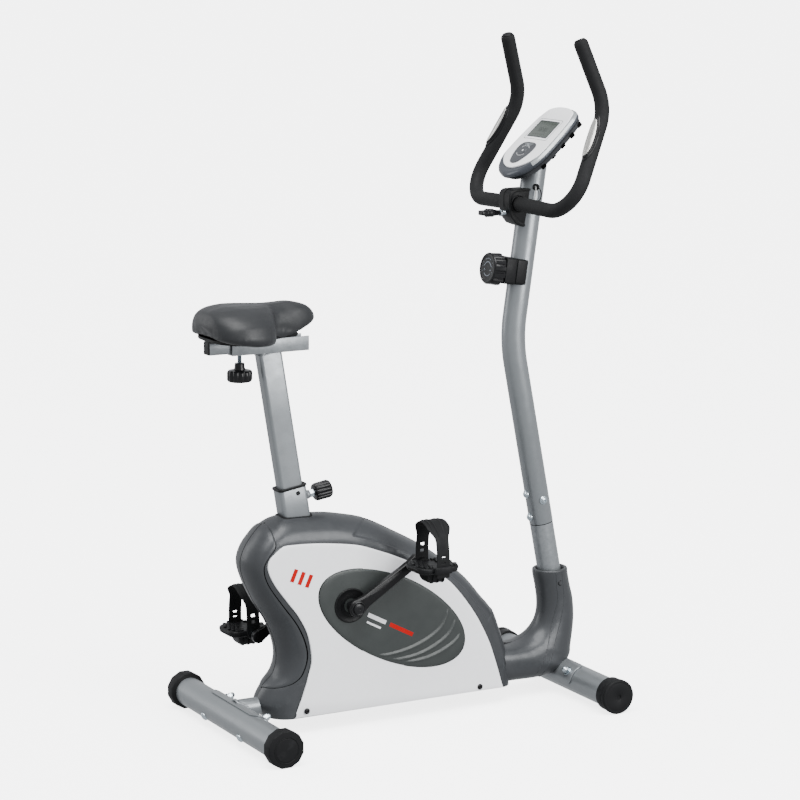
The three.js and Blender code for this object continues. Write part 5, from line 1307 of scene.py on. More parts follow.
def make_pedals():
    """Ribbed pedal decks with their weights and spindles."""
    for side, sign in SIDES.items():
        centre = pedal_point(sign)
        top = 8.0

        def place(a, b, height, centre=centre, sign=sign):
            """a forward, b away from the bike, height above the spindle."""
            return centre + Vector((a, sign * b, height))

        deck = domed_slab("deck", rounded_rectangle(92, 80, 20, 8), place, top - 8, top - 1.2, rounding=4.0,
                          dome=0.0, steps=6, rings_in=2)
        skirt = domed_slab("skirt", rounded_rectangle(90, 78, 19, 8), lambda a, b, h: place(a, b, -h),
                           -(top - 8),
                           6.0, rounding=3.5, steps=5, rings_in=2)
        parts = [deck, skirt]
        for x in (-28, 28):
            for row in range(7):
                shift = 4.6 if row % 2 else 0.0
                for column in range(3):
                    across = x - 9.2 + 9.2 * column + (shift - 2.3) * 0.9
                    along = -31.5 + 10.5 * row
                    if hypot(max(0, abs(across) - 28), max(0, abs(along) - 24)) > 13:
                        continue
                    block = rounded_rectangle(7.4, 8.4, 1.2, 2)
                    parts.append(domed_slab("block", [(across + a, along + b) for a, b in block], place,
                                            top - 2.4,
                                            top + 1.6, rounding=0.8, steps=3, rings_in=1))
        for row in range(2):
            wide = 40 if row else 41.5
            for edge in (-1, 1):
                rib = [place(edge * 45.4, -wide + 24 + (2 * wide - 48) * step / 8,
                             top - 6.5 - 4.2 * row) for step in range(9)]
                parts.append(swept("rib", rib, circle(1.1, 8), (0, 0, 1)))
                rib = [place(-wide + 22 + (2 * wide - 44) * step / 8, edge * 39.4,
                             top - 6.5 - 4.2 * row) for step in range(9)]
                parts.append(swept("rib", rib, circle(1.1, 8), (0, 0, 1)))
        hub = lathe("hub", place(0, -44, 0), (0, sign, 0),
                    [(0, 6.4), (0, 10.4), (1.2, 11.4), (6, 11.8), (14, 12.4)], 40)
        parts.append(hub)
        weight = []
        for drop, grow in ((-6, 0), (-12, 1.0), (-24, -2.2), (-31, -4.2), (-34.4, -6.4), (-35.8, -9.2),
                           (-36, -12)):
            section = rounded_rectangle(46 + 2 * grow, 56 + 2 * grow, 9)
            weight.append([place(a, b, top + drop) for a, b in section])
        parts.append(rings_mesh("weight", weight, caps=(True, True)))
        for shift in (-12, 0, 12):
            rib = [place(shift, edge, drop) for edge,
                   drop in ((28.6, -3), (28.2, -12), (25.6, -22), (19, -27.6), (0, -28.2),
                                                              (-19, -27.6), (-25.6, -22), (-28.2, -12),
                                                              (-28.6, -3))]
            parts.append(swept("web", smooth_curve(rib, 24), rounded_rectangle(2.6, 3.0, 0.8, 2), (0, 0, 1)))
        piece(f"pedal_body_{side}", joined("pedal", parts), BLACK, f"pedal_{side}", slot="black_plastic",
              stands_for=f"pedal_{side}", smooth=38)
        spindle = lathe("spindle", place(0, -59, 0), (0, sign, 0), [
            (-4, 5.6), (0.4, 5.6), (0.4, 8.4), (1.0, 9.2), (6.4, 9.2), (7.4, 8.2), (7.6, 6.3), (15.2, 6.1)],
            44,
            lambda angle, distance, r: min(r, 8.0 / max(0.2, abs(cos(angle)))) if 0.9 < distance < 7 else r)
        piece(f"pedal_spindle_{side}", spindle, ZINC, f"pedal_{side}", slot="zinc", smooth=35)
        make_strap(side, place, top)


def make_strap(side, place, top):
    """A moulded rubber strap: wide and ribbed over the toes, narrower with adjusting holes on the outside."""
    route = [(44.4, -22), (45.2, 8), (43.5, 36), (38, 60), (27, 77), (12, 86), (-2, 88), (-15, 85.6),
             (-28, 76),
             (-36.5, 60), (-41, 42), (-43.4, 16), (-43.8, -8)]
    count = 132
    line = smooth_curve([(b, z, 0) for b, z in route], count)
    half_columns = 7

    def half_width(share):
        return 14.6 + 11.5 * ease(share, 0.30, 0.43) * (1 - ease(share, 0.62, 0.78))

    slots = [0.045, 0.085, 0.125, 0.165]
    points, quads = [], []
    for row, p in enumerate(line):
        share = row / count
        for column in range(-half_columns, half_columns + 1):
            across = half_width(share) * column / half_columns
            sag = 1.4 * (column / half_columns) ** 2 * ease(share, 0.25, 0.45) * (1 - ease(share, 0.6, 0.8))
            b, z = p.x * (1 - 0.015 * sag), p.y - sag
            points.append(place(across, b, top + z))
    wide = 2 * half_columns + 1
    for row in range(count):
        share = (row + 0.5) / count
        for column in range(wide - 1):
            middle = abs(column + 0.5 - half_columns) < 2.2
            if middle and any(abs(share - each) < 0.0075 for each in slots):
                continue
            if middle and any(abs(share - each) < 0.011 for each in (0.845, 0.895)):
                continue
            low = row * wide + column
            quads.append((low, low + 1, low + wide + 1, low + wide))
    mesh = to_mesh("strap", points, quads)
    made = bpy.data.objects.new("strap_sheet", mesh)
    bpy.context.scene.collection.objects.link(made)
    modifier = made.modifiers.new("thick", "SOLIDIFY")
    modifier.thickness = 0.0026
    modifier.offset = 0
    modifier = made.modifiers.new("round", "SUBSURF")
    modifier.levels = modifier.render_levels = 1
    bake_modifiers(made)
    parts = [made.data]
    bpy.data.objects.remove(made)
    for offset in (-0.62, -0.3, 0.3, 0.62):
        start, end = (52, 92) if abs(offset) > 0.4 else (44, 100)
        rib = []
        for row in range(start, end + 1, 2):
            share = row / count
            before, after = line[max(row - 1, 0)], line[min(row + 1, count)]
            along = (after - before).normalized()
            outward = Vector((along.y, -along.x, 0))
            if outward.y < 0:
                outward = -outward
            if abs(outward.y) < 0.15:
                outward = Vector((line[row].x, 0, 0)).normalized()
            lift = 1.25 * sin(pi * min(1, max(0, (row - start) / (end - start)))) ** 0.4
            at = line[row] + outward * (0.35 + lift * 0.75)
            sag = 1.4 * offset ** 2
            rib.append(place(half_width(share) * offset, at.x, top + at.y - sag))
        parts.append(swept("rib", rib,
                           [(1.1 * cos(2 * pi * k / 10), 2.3 * sin(2 * pi * k / 10)) for k in range(10)],
                           (0, 0, 1)))
    block = [place(a, 44.2, top + z) for a, z in rounded_rectangle(38, 15, 3, 3)]
    outer = [place(a, 48.6, top + z) for a, z in rounded_rectangle(37, 14, 3, 3)]
    face = [place(a * 0.93, 49.6, top + z * 0.85) for a, z in rounded_rectangle(37, 14, 3, 3)]
    shift = Vector((0, 0, -6))
    parts.append(rings_mesh("buckle", [[p + shift for p in ring] for ring in (block, outer, face)],
                            caps=(True, True)))
    piece(f"pedal_strap_band_{side}", joined("strap", parts), RUBBER, f"pedal_{side}", slot="rubber",
          stands_for=f"pedal_strap_{side}", smooth=50)


# ---------------------------------------------------------------- saddle
SADDLE_STATIONS = [
    # place, half width, top, widest height, bottom, inner bottom
    (-429.5, 30, 850, 838, 826, 828), (-427.5, 50, 857.5, 835, 820.5, 823),
    (-423.5, 66, 863.5, 832, 816.5, 819),
    (-416, 80, 868, 829, 813.5, 816), (-404, 92, 871, 826, 810.5, 814), (-388, 100, 872.4, 823.5, 807.5, 812),
    (-370, 103.5, 872.6, 822, 804.6, 811), (-350, 103, 872.2, 821, 802, 811),
    (-334, 99.5, 871.6, 821, 800.8, 811),
    (-320, 93.5, 871, 821.5, 800.4, 811), (-309, 85, 870.6, 823, 800.8, 811),
    (-301, 73.5, 870.4, 825, 802, 811),
    (-294.5, 58, 870.4, 829, 804, 811), (-289, 46, 870.6, 833, 806, 811),
    (-281, 40.5, 870.9, 835, 806.8, 811),
    (-266, 36.5, 871.6, 836, 807, 811), (-250, 33.4, 872.4, 837, 809.5, 812.5),
    (-232, 30.5, 872.6, 838.5, 815, 817),
    (-216, 27.2, 871.2, 841, 821, 822), (-203, 23.4, 867.8, 843, 826, 827),
    (-192, 17.8, 861, 844.5, 831.5, 832),
    (-184.5, 10.5, 853.5, 845, 836.5, 837),
]


def saddle_ring(x, half, top, widest, bottom, inner):
    """One cross-section, from the top middle round the right side to the underside middle, then back."""
    wing = ease(half, 38, 92)
    profile = [(0, top - 1.0 * wing), (0.22, top - 0.5 * wing), (0.45, top - 0.6 - 2.6 * wing),
               (0.66, top - 3.2 - 7.4 * wing), (0.83, top - 9 - 12 * wing), (0.94, top - 18 - 15 * wing),
               (1.0, widest - 3 * wing), (0.985, widest * 0.4 + bottom * 0.6), (0.93, bottom + 1.2),
               (0.85, bottom),
               (0.7, bottom + 0.8), (0.45, inner), (0.2, inner), (0, inner)]
    right = [Vector((x, -half * share, z)) for share, z in profile]
    left = [Vector((p.x, -p.y, p.z)) for p in reversed(right[1:-1])]
    return right + left


def make_saddle():
    """The padded saddle, its base and its rail."""
    rings = [saddle_ring(*row) for row in SADDLE_STATIONS]
    fine = []
    for index in range(len(rings) - 1):
        rows = [rings[min(max(index + step, 0), len(rings) - 1)] for step in (-1, 0, 1, 2)]
        for step in range(4):
            t = step / 4
            fine.append([0.5 * (2 * p1 + (p2 - p0) * t + (2 * p0 - 5 * p1 + 4 * p2 - p3) * t * t
                                + (3 * p1 - p0 - 3 * p2 + p3) * t ** 3) for p0, p1, p2, p3 in zip(*rows)])
    fine.append(rings[-1])
    count = len(fine[0])
    centre = sum(fine[0], Vector()) / count
    back = [[p.lerp(centre, share) - Vector((depth, 0, 0)) for p in fine[0]] for share,
            depth in ((0.6, 1.2), (0.3, 0.8))]
    nose = sum(fine[-1], Vector()) / count
    tip = [[p.lerp(nose, share) + Vector((depth, 0, 0)) for p in fine[-1]] for share,
           depth in ((0.35, 2.6), (0.7, 4.2))]
    mesh = rings_mesh("saddle_pad", [*back, *fine, *tip], caps=(True, True))
    made = bpy.data.objects.new("saddle_pad", mesh)
    bpy.context.scene.collection.objects.link(made)
    remesh = made.modifiers.new("even", "REMESH")
    remesh.mode = "VOXEL"
    remesh.voxel_size = 0.004
    smooth = made.modifiers.new("soften", "SMOOTH")
    smooth.factor = 0.5
    smooth.iterations = 5
    bake_modifiers(made)
    start = [v.co.copy() for v in made.data.vertices]
    swell(made, start, 0.0045)
    relax(made, 2)
    levels = made.modifiers.new("finer", "SUBSURF")
    levels.levels = levels.render_levels = 1
    bake_modifiers(made)
    mesh = made.data
    bpy.data.objects.remove(made)
    pad = piece("saddle_pad", mesh, VINYL, "saddle", slot="vinyl", stands_for="saddle", smooth=80)
    outline = []
    for x, half in ((-419, 30), (-412, 56), (-400, 74), (-384, 86), (-360, 91), (-336, 86), (-314, 72),
                    (-294, 46),
                    (-270, 32), (-248, 27), (-232, 22), (-226, 12)):
        outline.append((x, -half))
    closed = [Vector((x, y, 0)) for x, y in outline] + [Vector((x, -y, 0)) for x, y in reversed(outline)]
    round_line = smooth_curve([*closed, closed[0]], 110)[:-1]
    plate = domed_slab("plate", [(p.x, p.y) for p in round_line], lambda a, b, h: Vector((a, b, 811.5 - h)),
                       -2, 4.6,
                       rounding=2.2, steps=3, rings_in=4)
    piece("saddle_base_plate", plate, BLACK, "saddle", slot="black_plastic", smooth=40)
    rear, front = -417.5, -226
    bar = swept("rail", [Vector((rear + (front - rear) * step / 6, 0, 793)) for step in range(7)],
                rounded_rectangle(25.4, 25.4, 2.5, 3), (0, 1, 0))
    piece("saddle_rail_bar", bar, SILVER, "saddle", slot="black_steel", stands_for="saddle_rail", smooth=35,
          bevel=(0.5, 2))
    plug = domed_slab("rail_plug", rounded_rectangle(25, 25, 2.5, 4), lambda a, b,
                      h: Vector((rear - h, a, 793 + b)),
                      -14, 2.4, rounding=1.4, dome=0.3, steps=4, rings_in=2)
    cover = domed_slab("rail_top", rounded_rectangle(44, 24, 2, 3), lambda a, b,
                       h: Vector((-397 + a, b, 805.4 + h)),
                       0, 6.5, rounding=1.0, steps=3, rings_in=1)
    piece("saddle_rail_plug", joined("plug", [plug, cover]), BLACK, "saddle", slot="black_plastic", smooth=35)


def swell(made, start, cap):
    """Blows the pad up a little as cloth, and keeps every point within cap metres of where it began."""
    cloth = made.modifiers.new("swell", "CLOTH")
    cloth.settings.use_pressure = True
    cloth.settings.uniform_pressure_force = 4
    cloth.settings.effector_weights.gravity = 0
    cloth.settings.tension_stiffness = 25
    cloth.settings.compression_stiffness = 25
    cloth.settings.quality = 6
    cloth.point_cache.frame_start = 1
    cloth.point_cache.frame_end = 20
    for number in range(1, 21):
        bpy.context.scene.frame_set(number)
    bake_modifiers(made)
    bpy.context.scene.frame_set(1)
    for vertex, before in zip(made.data.vertices, start):
        move = vertex.co - before
        limit = cap * (0.35 if before.z < 0.822 else 1.0)
        if move.length > limit:
            vertex.co = before + move.normalized() * limit


def relax(made, turns):
    """Even out a mesh by moving each point towards its neighbours."""
    smooth = made.modifiers.new("relax", "SMOOTH")
    smooth.factor = 0.5
    smooth.iterations = turns
    bake_modifiers(made)


# ---------------------------------------------------------------- handlebar, clamp and sensors
BAR = (276, 1043.8)
BAR_BENDS = [((276, 30, 1043.8), 60), ((285.2, 213.5, 1038.8), 64), ((390.1, 167.1, 1244.5), 95),
             ((343.8, 143, 1378.8), 0)]
BAR_RADIUS, FOAM_RADIUS = 12.5, 15
CLAMP_HALF = 22


def bar_half(start_y):
    """The right half of the bar's axis, from a distance off the middle out to its tip."""
    corners = [((BAR[0], -start_y, BAR[1]), 0)] if start_y < 30 else []
    corners += [((x, -y, z), radius) for (x, y, z), radius in BAR_BENDS]
    if start_y < 30:
        return filleted(corners, 4)
    corners[0] = (corners[0][0], 0)
    return filleted(corners, 4)


def make_handlebar():
    """The bent bar with its foam grips."""
    half = bar_half(0)
    whole = [Vector((p.x, -p.y, p.z)) for p in reversed(half[1:])] + half
    tube = swept("bar", whole, circle(BAR_RADIUS - 0.2, 32), (0, 0, 1), bore=circle(BAR_RADIUS - 1.8, 32))
    piece("handlebar_tube", tube, COATED_STEEL, "handlebar", slot="black_steel", stands_for="handlebar",
          smooth=60)
    line = evenly(bar_half(CLAMP_HALF + 0.8), 150)
    rings = []
    for index, (place, normal, side) in enumerate(frames_along(line, (0, 0, 1))):
        radius = FOAM_RADIUS
        if index < 2:
            radius -= (1.6, 0.5)[index]
        if index > len(line) - 3:
            radius -= (0.4, 1.5)[index - (len(line) - 2)]
        turns = [2 * pi * k / 40 for k in range(40)]
        rings.append([place + normal * (radius * cos(turn)) + side * (radius * sin(turn)) for turn in turns])
    start = sum(rings[0], Vector()) / 40
    rings.insert(0, [start + (p - start).normalized() * (BAR_RADIUS - 0.1) for p in rings[0]])
    tip = line[-1]
    outward = (line[-1] - line[-2]).normalized()
    end = rings[-1]
    rings.append([tip + (p - tip) * 0.86 + outward * 0.7 for p in end])
    rings.append([tip + (p - tip) * 0.80 + outward * 0.3 for p in end])
    foam = rings_mesh("grip", rings, caps=(False, True))
    plug = lathe("plug", tip, outward,
                 [(0, 11.6), (1.8, 11.6), (3.4, 10.6), (4.2, 8.8), (3.6, 7.6), (3.7, 4), (3.9, 0.01)], 40)
    for side, sign in SIDES.items():
        own = foam if sign < 0 else mirrored(foam)
        grip = piece(f"grip_foam_{side}", own, FOAM, "handlebar", slot="foam", stands_for=f"grip_{side}",
                     smooth=50)
        own = plug if sign < 0 else mirrored(plug)
        piece(f"grip_end_plug_{side}", own, BLACK, "handlebar", slot="black_plastic", smooth=40)


def make_pulse_sensors():
    """A polished plate in an almond-shaped housing, on the rider's side of each grip."""
    high, low = Vector((379.0, -172.4, 1221.5)), Vector((337.6, -190.4, 1141.2))
    centre, along = (high + low) / 2, (high - low).normalized()
    facing = Vector((-0.96, -0.27, 0))
    facing = (facing - along * facing.dot(along)).normalized()
    across = along.cross(facing)

    def almond(length, width, sharp, steps=56):
        made = []
        for step in range(steps):
            angle = 2 * pi * step / steps
            u = cos(angle)
            made.append((length * u, width * (abs(sin(angle)) ** sharp) * (1 if sin(angle) >= 0 else -1)))
        return made

    def around(lift):
        def place(u, v, height):
            turn = v / (FOAM_RADIUS + 1)
            reach = FOAM_RADIUS + lift + height
            return centre + along * u + facing * (reach * cos(turn)) + across * (reach * sin(turn))
        return place

    bed = domed_slab("bed", almond(52, 17.5, 1.25), around(0), -3.5, 1.7, rounding=1.4, dome=0.2, steps=4,
                     rings_in=4)
    rim = domed_slab("rim", almond(45.5, 12.8, 1.1), around(0), 0.5, 3.5, rounding=1.3, dome=0.3, steps=4,
                     rings_in=4)
    on_sides("pulse_housing", joined("housing", [bed, rim]), GLOSS_BLACK, "handlebar", slot="black_plastic",
             smooth=55)
    plate = domed_slab("plate", almond(41, 9.4, 1.05), around(0), 2.4, 4.5, rounding=1.0, dome=0.5, steps=4,
                       rings_in=5)
    on_sides("pulse_plate", plate, PULSE, "handlebar", slot="zinc", smooth=55)
    # A near-black ring of painted shade in the gap between the plate and its housing.
    plate_shade = domed_slab("plate_shade", almond(42.3, 10.5, 1.05), around(0), 2.2, 3.86, rounding=0.3, steps=2,
                        rings_in=4)
    on_sides("pulse_gap_shade", plate_shade, PAINTED_SHADE, "handlebar", slot="black_plastic")


def make_clamp():
    """The clamp cover, and the knob whose screw closes the clamp."""
    outline = [(255.5, 1043), (255.5, 1062), (259.6, 1069), (265, 1072.4), (305.3, 1073.4), (304.4, 1058.8),
               (298, 1024.4), (292, 998), (287, 997.4), (271.4, 1003.6), (259.6, 1018.4)]
    body = slab("cover", outline, lambda a, b, h: Vector((a, h, b)), -19.4, 19.4)
    piece("clamp_cover_body", body, BLACK, slot="black_plastic", stands_for="clamp_cover", bevel=(2.4, 4))
    band = [(253.5, 1043), (253.5, 1061), (255.2, 1066), (258.6, 1070.4), (263, 1073.2), (270, 1074.2),
            (304.6, 1074.6),
            (304.2, 1069.6), (276, 1069.2), (268, 1067.4), (262.6, 1063), (260, 1056), (259.6, 1044),
            (262, 1030.4),
            (268.4, 1018.6), (277, 1009.6), (290.4, 1003), (293, 1000), (291.6, 997), (287, 996.3),
            (270.7, 1002.5),
            (258, 1018)]
    raised = slab("band", band, lambda a, b, h: Vector((a, h, b)), -CLAMP_HALF, CLAMP_HALF)
    piece("clamp_cover_band", raised, BLACK, slot="black_plastic", bevel=(1.8, 4))
    boss = lathe("bar_boss", (BAR[0], -15, BAR[1]), (0, -1, 0),
                 [(0, 18.4), (5.4, 18.2), (6.6, 17.4), (6.9, 16.4),
                                                                 (6.2, 15.6), (-2, 15.6)], 56)
    on_sides("clamp_bar_boss", boss, BLACK, slot="black_plastic")
    # A thin near-black tube: a painted shade line along the cover's seam.
    seam = [Vector((x, 0, z)) for x,
            z in [(253.3, 1036), (253.3, 1060), (255, 1066.2), (258.4, 1070.7), (263, 1073.6),
                                           (270, 1074.5), (292, 1074.8)]]
    piece("clamp_cover_seam_shade", swept("seam", seam, circle(0.45, 8), (0, 1, 0)), PAINTED_SHADE, slot="black_plastic")

    inward = Vector((58, 0, -2.3)).normalized()
    screw_at = Vector((197, 0, 1027.4))
    thread = [(44 + 0.7 * step, 3.9 + 0.35 * (step % 2)) for step in range(50)]
    screw = lathe("screw", screw_at, inward, [(30, 3.2), *thread], 28)
    piece("clamp_screw", screw, ZINC, "clamp_knob", slot="zinc", smooth=50)
    collar = lathe("collar", screw_at, inward,
                   [(46.5, 4.2), (46.5, 6.8), (47.2, 7.4), (51, 7.4), (51.6, 6.6), (51.6, 4.2)], 32)
    piece("clamp_screw_collar", collar, ZINC, "clamp_knob", slot="zinc", smooth=35)
    hub = lathe("hub", screw_at, inward,
                [(12.5, 0.01), (12.5, 7.6), (13.2, 8.8), (14.4, 9.3), (16.6, 9.3), (17.4, 8.4),
                                          (18.4, 8.1), (19.2, 8.8), (30.5, 8.8), (31.6, 8.0), (33, 6.9),
                                          (44.8, 5.6),
                                          (46.2, 5.0), (46.2, 3.2)], 72, hex_ring(8))
    parts = [hub]
    rings = []
    for out, thick, tall in ((13.4, 7.8, 5.4), (9, 8.6, 5.2), (4, 8.8, 5.0), (1.2, 8.6, 4.9),
                             (0.3, 7.9, 4.3), (0, 6.4, 3.2)):
        section = rounded_rectangle(2 * thick, 2 * tall, min(thick, tall) * 0.5, 4)
        rings.append([screw_at + inward * out + Vector((0, a, b)) for a, b in section])
    parts.append(rings_mesh("wing", rings, caps=(True, True)))
    piece("clamp_knob_grip", joined("clamp_knob", parts), GLOSS_BLACK, "clamp_knob", slot="black_plastic",
          stands_for="clamp_knob", smooth=45)


def make_sensor_leads():
    """Two thin pulse leads that come out of the post and tuck in behind the clamp cover."""
    centre = on_upper_post(1077)
    outward = Vector((-0.2, -0.98, 0)).normalized()
    at = centre + outward * (POST_RADIUS - 0.6)
    ring = [(0, 7.2), (1.4, 7.4), (2.6, 6.6), (3.0, 5.4), (2.6, 4.4), (1.0, 3.8), (0.6, 3.4), (0.5, 0.01)]
    piece("lead_grommet", lathe("grommet", at, outward, ring, 36), GLOSS_BLACK, slot="rubber")
    start = at + outward * 0.8
    routes = {
        "pale": ([start + Vector((-1.4, 0, 0)), start + Vector((-2.4, -3.4, -2)),
                  start + Vector((-3.6, -5.0, -9)),
                  start + Vector((-4.4, -5.0, -18)), start + Vector((-6.0, -4.0, -27)),
                  Vector((303.4, -24.6, 1043)),
                  Vector((299, -18, 1038))], WIRE_WHITE),
        "dark": ([start + Vector((1.4, 0, 0.4)), start + Vector((4.0, -4.2, -1)),
                  start + Vector((8.4, -5.6, -9)),
                  start + Vector((9.4, -5.6, -17)), start + Vector((6.0, -5.4, -26)),
                  Vector((308, -26, 1044)),
                  Vector((300, -18.5, 1042))], COATED_STEEL),
    }
    for name, (route, material) in routes.items():
        line = smooth_curve(route, 48)
        piece(f"pulse_lead_{name}", swept("lead", line, circle(1.15, 12), (1, 0, 0)), material, slot="rubber")


# ---------------------------------------------------------------- console
CONSOLE = Vector((348, 0, 1191))
CONSOLE_UP = Vector((0.7463, 0, 0.6656)).normalized()
CONSOLE_OUT = Vector((-0.6656, 0, 0.7463)).normalized()
CONSOLE_HALF = [(70, 0), (69.5, 16), (67, 31), (60, 50), (46, 61), (30, 67), (0, 71), (-30, 73), (-54, 73.4),
                (-75, 71.5), (-92, 65), (-106, 55), (-117, 42), (-124, 27), (-128, 13), (-129, 0)]


def in_console(a, b, height):
    """a up the face, b toward the rider's left, height out of the face."""
    return CONSOLE + CONSOLE_UP * a + Vector((0, b, 0)) + CONSOLE_OUT * height


def console_outline(margin, low=0.0, high=0.0):
    """The console's outline drawn in by a margin, and by more at its low and high ends."""
    half = smooth_curve([(a, b, 0) for a, b in CONSOLE_HALF], 48)
    whole = [*half, *[Vector((p.x, -p.y, 0)) for p in reversed(half[1:-1])]]
    made = []
    for p, n in zip(whole, inward_normals(whole)):
        extra = low * ease(-p.x, 55, 125) + high * ease(p.x, 45, 68)
        made.append((p.x + n.x * (margin + extra), p.y + n.y * (margin + extra)))
    return made


def face_crown(b):
    """How far the face bulges out, at a distance across from its middle."""
    return 1.8 * (1 - min(1, (b / 66) ** 2))


def make_console():
    """The console: back, face, display and button, with painted shade in its parting gap and vent slots."""
    levels = [(-28, 13, 8), (-27.6, 9.5, 6), (-26.4, 7, 4), (-23.5, 5, 3), (-17, 3.4, 1), (-12.6, 2.6, 0.3),
              (-11.8, 2.4, 0.2)]
    back = [[in_console(a, b, h) for a, b in console_outline(margin, low)] for h, margin, low in levels]
    piece("console_back_shell", rings_mesh("console_back", back, caps=(True, True)), CONSOLE_BACK,
          slot="grey_shell",
          stands_for="console_housing", smooth=40)
    levels = [(-13.2, 3.0), (-13.2, 1.6), (-12.6, 0.8), (-10.6, 0), (-6.4, 0.3), (-3.4, 2.2), (-1.4, 5.0),
              (-0.6, 7.6), (-0.5, 9.6)]
    rim = [[in_console(a, b, h) for a, b in console_outline(margin)] for h, margin in levels]
    lip = []
    for margin in (13, 18, 24, 32):
        lip.append([in_console(a, b, -0.9) for a, b in console_outline(margin)])
    piece("console_rim_moulding", rings_mesh("console_rim", [*rim, *lip], caps=(True, True)), BEZEL,
          slot="grey_shell",
          stands_for="console_face", smooth=45)
    strip = []
    for h, margin in ((-6.0, -0.15), (-3.2, 1.9), (-1.0, 5.2), (-0.1, 7.7), (-0.4, 9.4)):
        outline = console_outline(margin)[:49]
        row = [in_console(a, -b, h) for a, b in outline[6:36]]
        strip.append(row)
    for side, sign in SIDES.items():
        rows = [[Vector((p.x, p.y if sign < 0 else -p.y, p.z)) for p in row] for row in strip]
        piece(f"console_side_strip_{side}", rings_mesh("strip", rows, closed=False), CONSOLE_RIM,
              slot="silver_paint", smooth=60)
    # A near-black ring of painted shade in the parting gap between the back and the rim.
    gap = [[in_console(a, b, h) for a, b in console_outline(margin)] for h,
           margin in ((-13.4, 2.4), (-13.4, 0.7), (-12.9, 0.6), (-12.9, 2.4))]
    piece("console_parting_gap_shade", rings_mesh("gap", gap), PAINTED_SHADE, slot="grey_shell")

    def on_face(a, b, height):
        return in_console(a, b, height + (face_crown(b) if height > -0.9 else 0))

    outline = console_outline(7.6, 11.0, -3.2)
    face = domed_slab("console_face", outline, on_face, -1.0, 0.5, rounding=1.0, dome=0.15, steps=4,
                      rings_in=16)
    piece("console_white_face", face, CONSOLE_WHITE, slot="white_panel", smooth=40)

    def framed(name, low_a, high_a, half_b, wide, height, material, corner=2.0):
        """A flat raised frame line round a window."""
        centre = (low_a + high_a) / 2
        outer = rounded_rectangle(high_a - low_a + 2 * wide, 2 * half_b + 2 * wide, corner + wide, 5)
        inner = rounded_rectangle(high_a - low_a, 2 * half_b, corner, 5)
        sides = [[], []]
        for (a, b), (c, d), (e, f), (g, k) in zip(outer, [*outer[1:], outer[0]], inner,
                                                  [*inner[1:], inner[0]]):
            steps = max(1, ceil(hypot(c - a, d - b) / 4))
            for step in range(steps):
                share = step / steps
                sides[0].append((a + (c - a) * share, b + (d - b) * share))
                sides[1].append((e + (g - e) * share, f + (k - f) * share))
        rows = [[on_face(centre + a, b, h) for a, b in row]
                for row, h in ((sides[0], 0.2), (sides[0], height), (sides[1], height), (sides[1], 0.2))]
        piece(name, rings_mesh(name, rows), material, slot="white_panel", smooth=30)

    framed("console_window_step", -28, 28.5, 43, 1.0, 0.95, CONSOLE_RIM, 3.0)
    framed("console_window_frame", -21.6, 22.6, 36.4, 1.4, 1.15, BEZEL, 1.4)
    window = refined([(a + 0.5, b) for a, b in rounded_rectangle(44.4, 73, 1.4, 4)])
    glass = domed_slab("glass", window, on_face, -0.2, 0.85,
                       rounding=0.2, steps=2, rings_in=8)
    piece("console_display_glass", glass, LCD, slot="display", stands_for="console_lens", smooth=30)
    marks = []

    def mark(a, b, tall, wide):
        marks.append(slab("mark",
                          [(a - tall / 2, b - wide / 2), (a + tall / 2, b - wide / 2),
                           (a + tall / 2, b + wide / 2),
                                   (a - tall / 2, b + wide / 2)], on_face, 0.8, 1.0))

    for digit in range(4):
        b = 12 - 7.5 * digit - (2.5 if digit > 1 else 0)
        for a, shift, tall, wide in ((-1.2, 0, 0.8, 4), (4, 0, 0.8, 4), (-6.4, 0, 0.8, 4),
                                     (1.5, 2.5, 4.2, 0.8),
                                     (1.5, -2.5, 4.2, 0.8), (-3.8, 2.5, 4.2, 0.8), (-3.8, -2.5, 4.2, 0.8)):
            mark(a, b + shift, tall, wide)
    for step in range(6):
        mark(-14.5, 22 - 8.8 * step, 0.7, 5.5)
        mark(14.5, 22 - 8.8 * step, 0.5, 4.5)
    piece("console_display_marks", joined("marks", marks), LCD_INK, slot="display", smooth=30)

    pad = [(-38.5, 0), (-38.6, 12), (-41, 22.5), (-47, 29), (-56, 31), (-68, 29), (-82, 23.4), (-93, 16.4),
           (-98, 9), (-99.5, 0)]
    half = smooth_curve([(a, b, 0) for a, b in pad], 26)
    whole = [(p.x, p.y) for p in half] + [(p.x, -p.y) for p in reversed(half[1:-1])]
    plate = domed_slab("pad", whole, on_face, 0.0, 1.55, rounding=0.7, dome=0.3, steps=3, rings_in=7)
    piece("console_button_pad", plate, PAD, slot="grey_shell", smooth=40)
    for name, radius, start, end in (("upper", 15.4, 35, 145), ("lower", 15.4, 215, 325)):
        arc = []
        for step in range(25):
            angle = radians(start + (end - start) * step / 24)
            arc.append(on_face(-63.7 + radius * sin(angle) * 0.92, radius * cos(angle) * 1.12, 1.78))
        piece(f"console_pad_arc_{name}", swept("arc", arc, circle(0.5, 8), CONSOLE_OUT), WHITE,
              slot="white_panel", smooth=50)
    centre = in_console(-63.7, 0, face_crown(0))
    button = lathe("button", centre, CONSOLE_OUT,
                   [(-2.4, 10.6), (1.9, 10.6), (2.7, 9.9), (2.9, 8.4), (2.7, 4), (2.5, 0.01)], 48)
    piece("console_button_cap", button, PAD, "console_button", slot="grey_shell",
          stands_for="console_button", smooth=40)
    dot = lathe("dot", centre, CONSOLE_OUT, [(2.4, 2.3), (2.9, 2.3), (3.1, 1.8), (3.15, 0.01)], 24)
    piece("console_button_dot", dot, WHITE, "console_button", slot="white_panel", smooth=40)
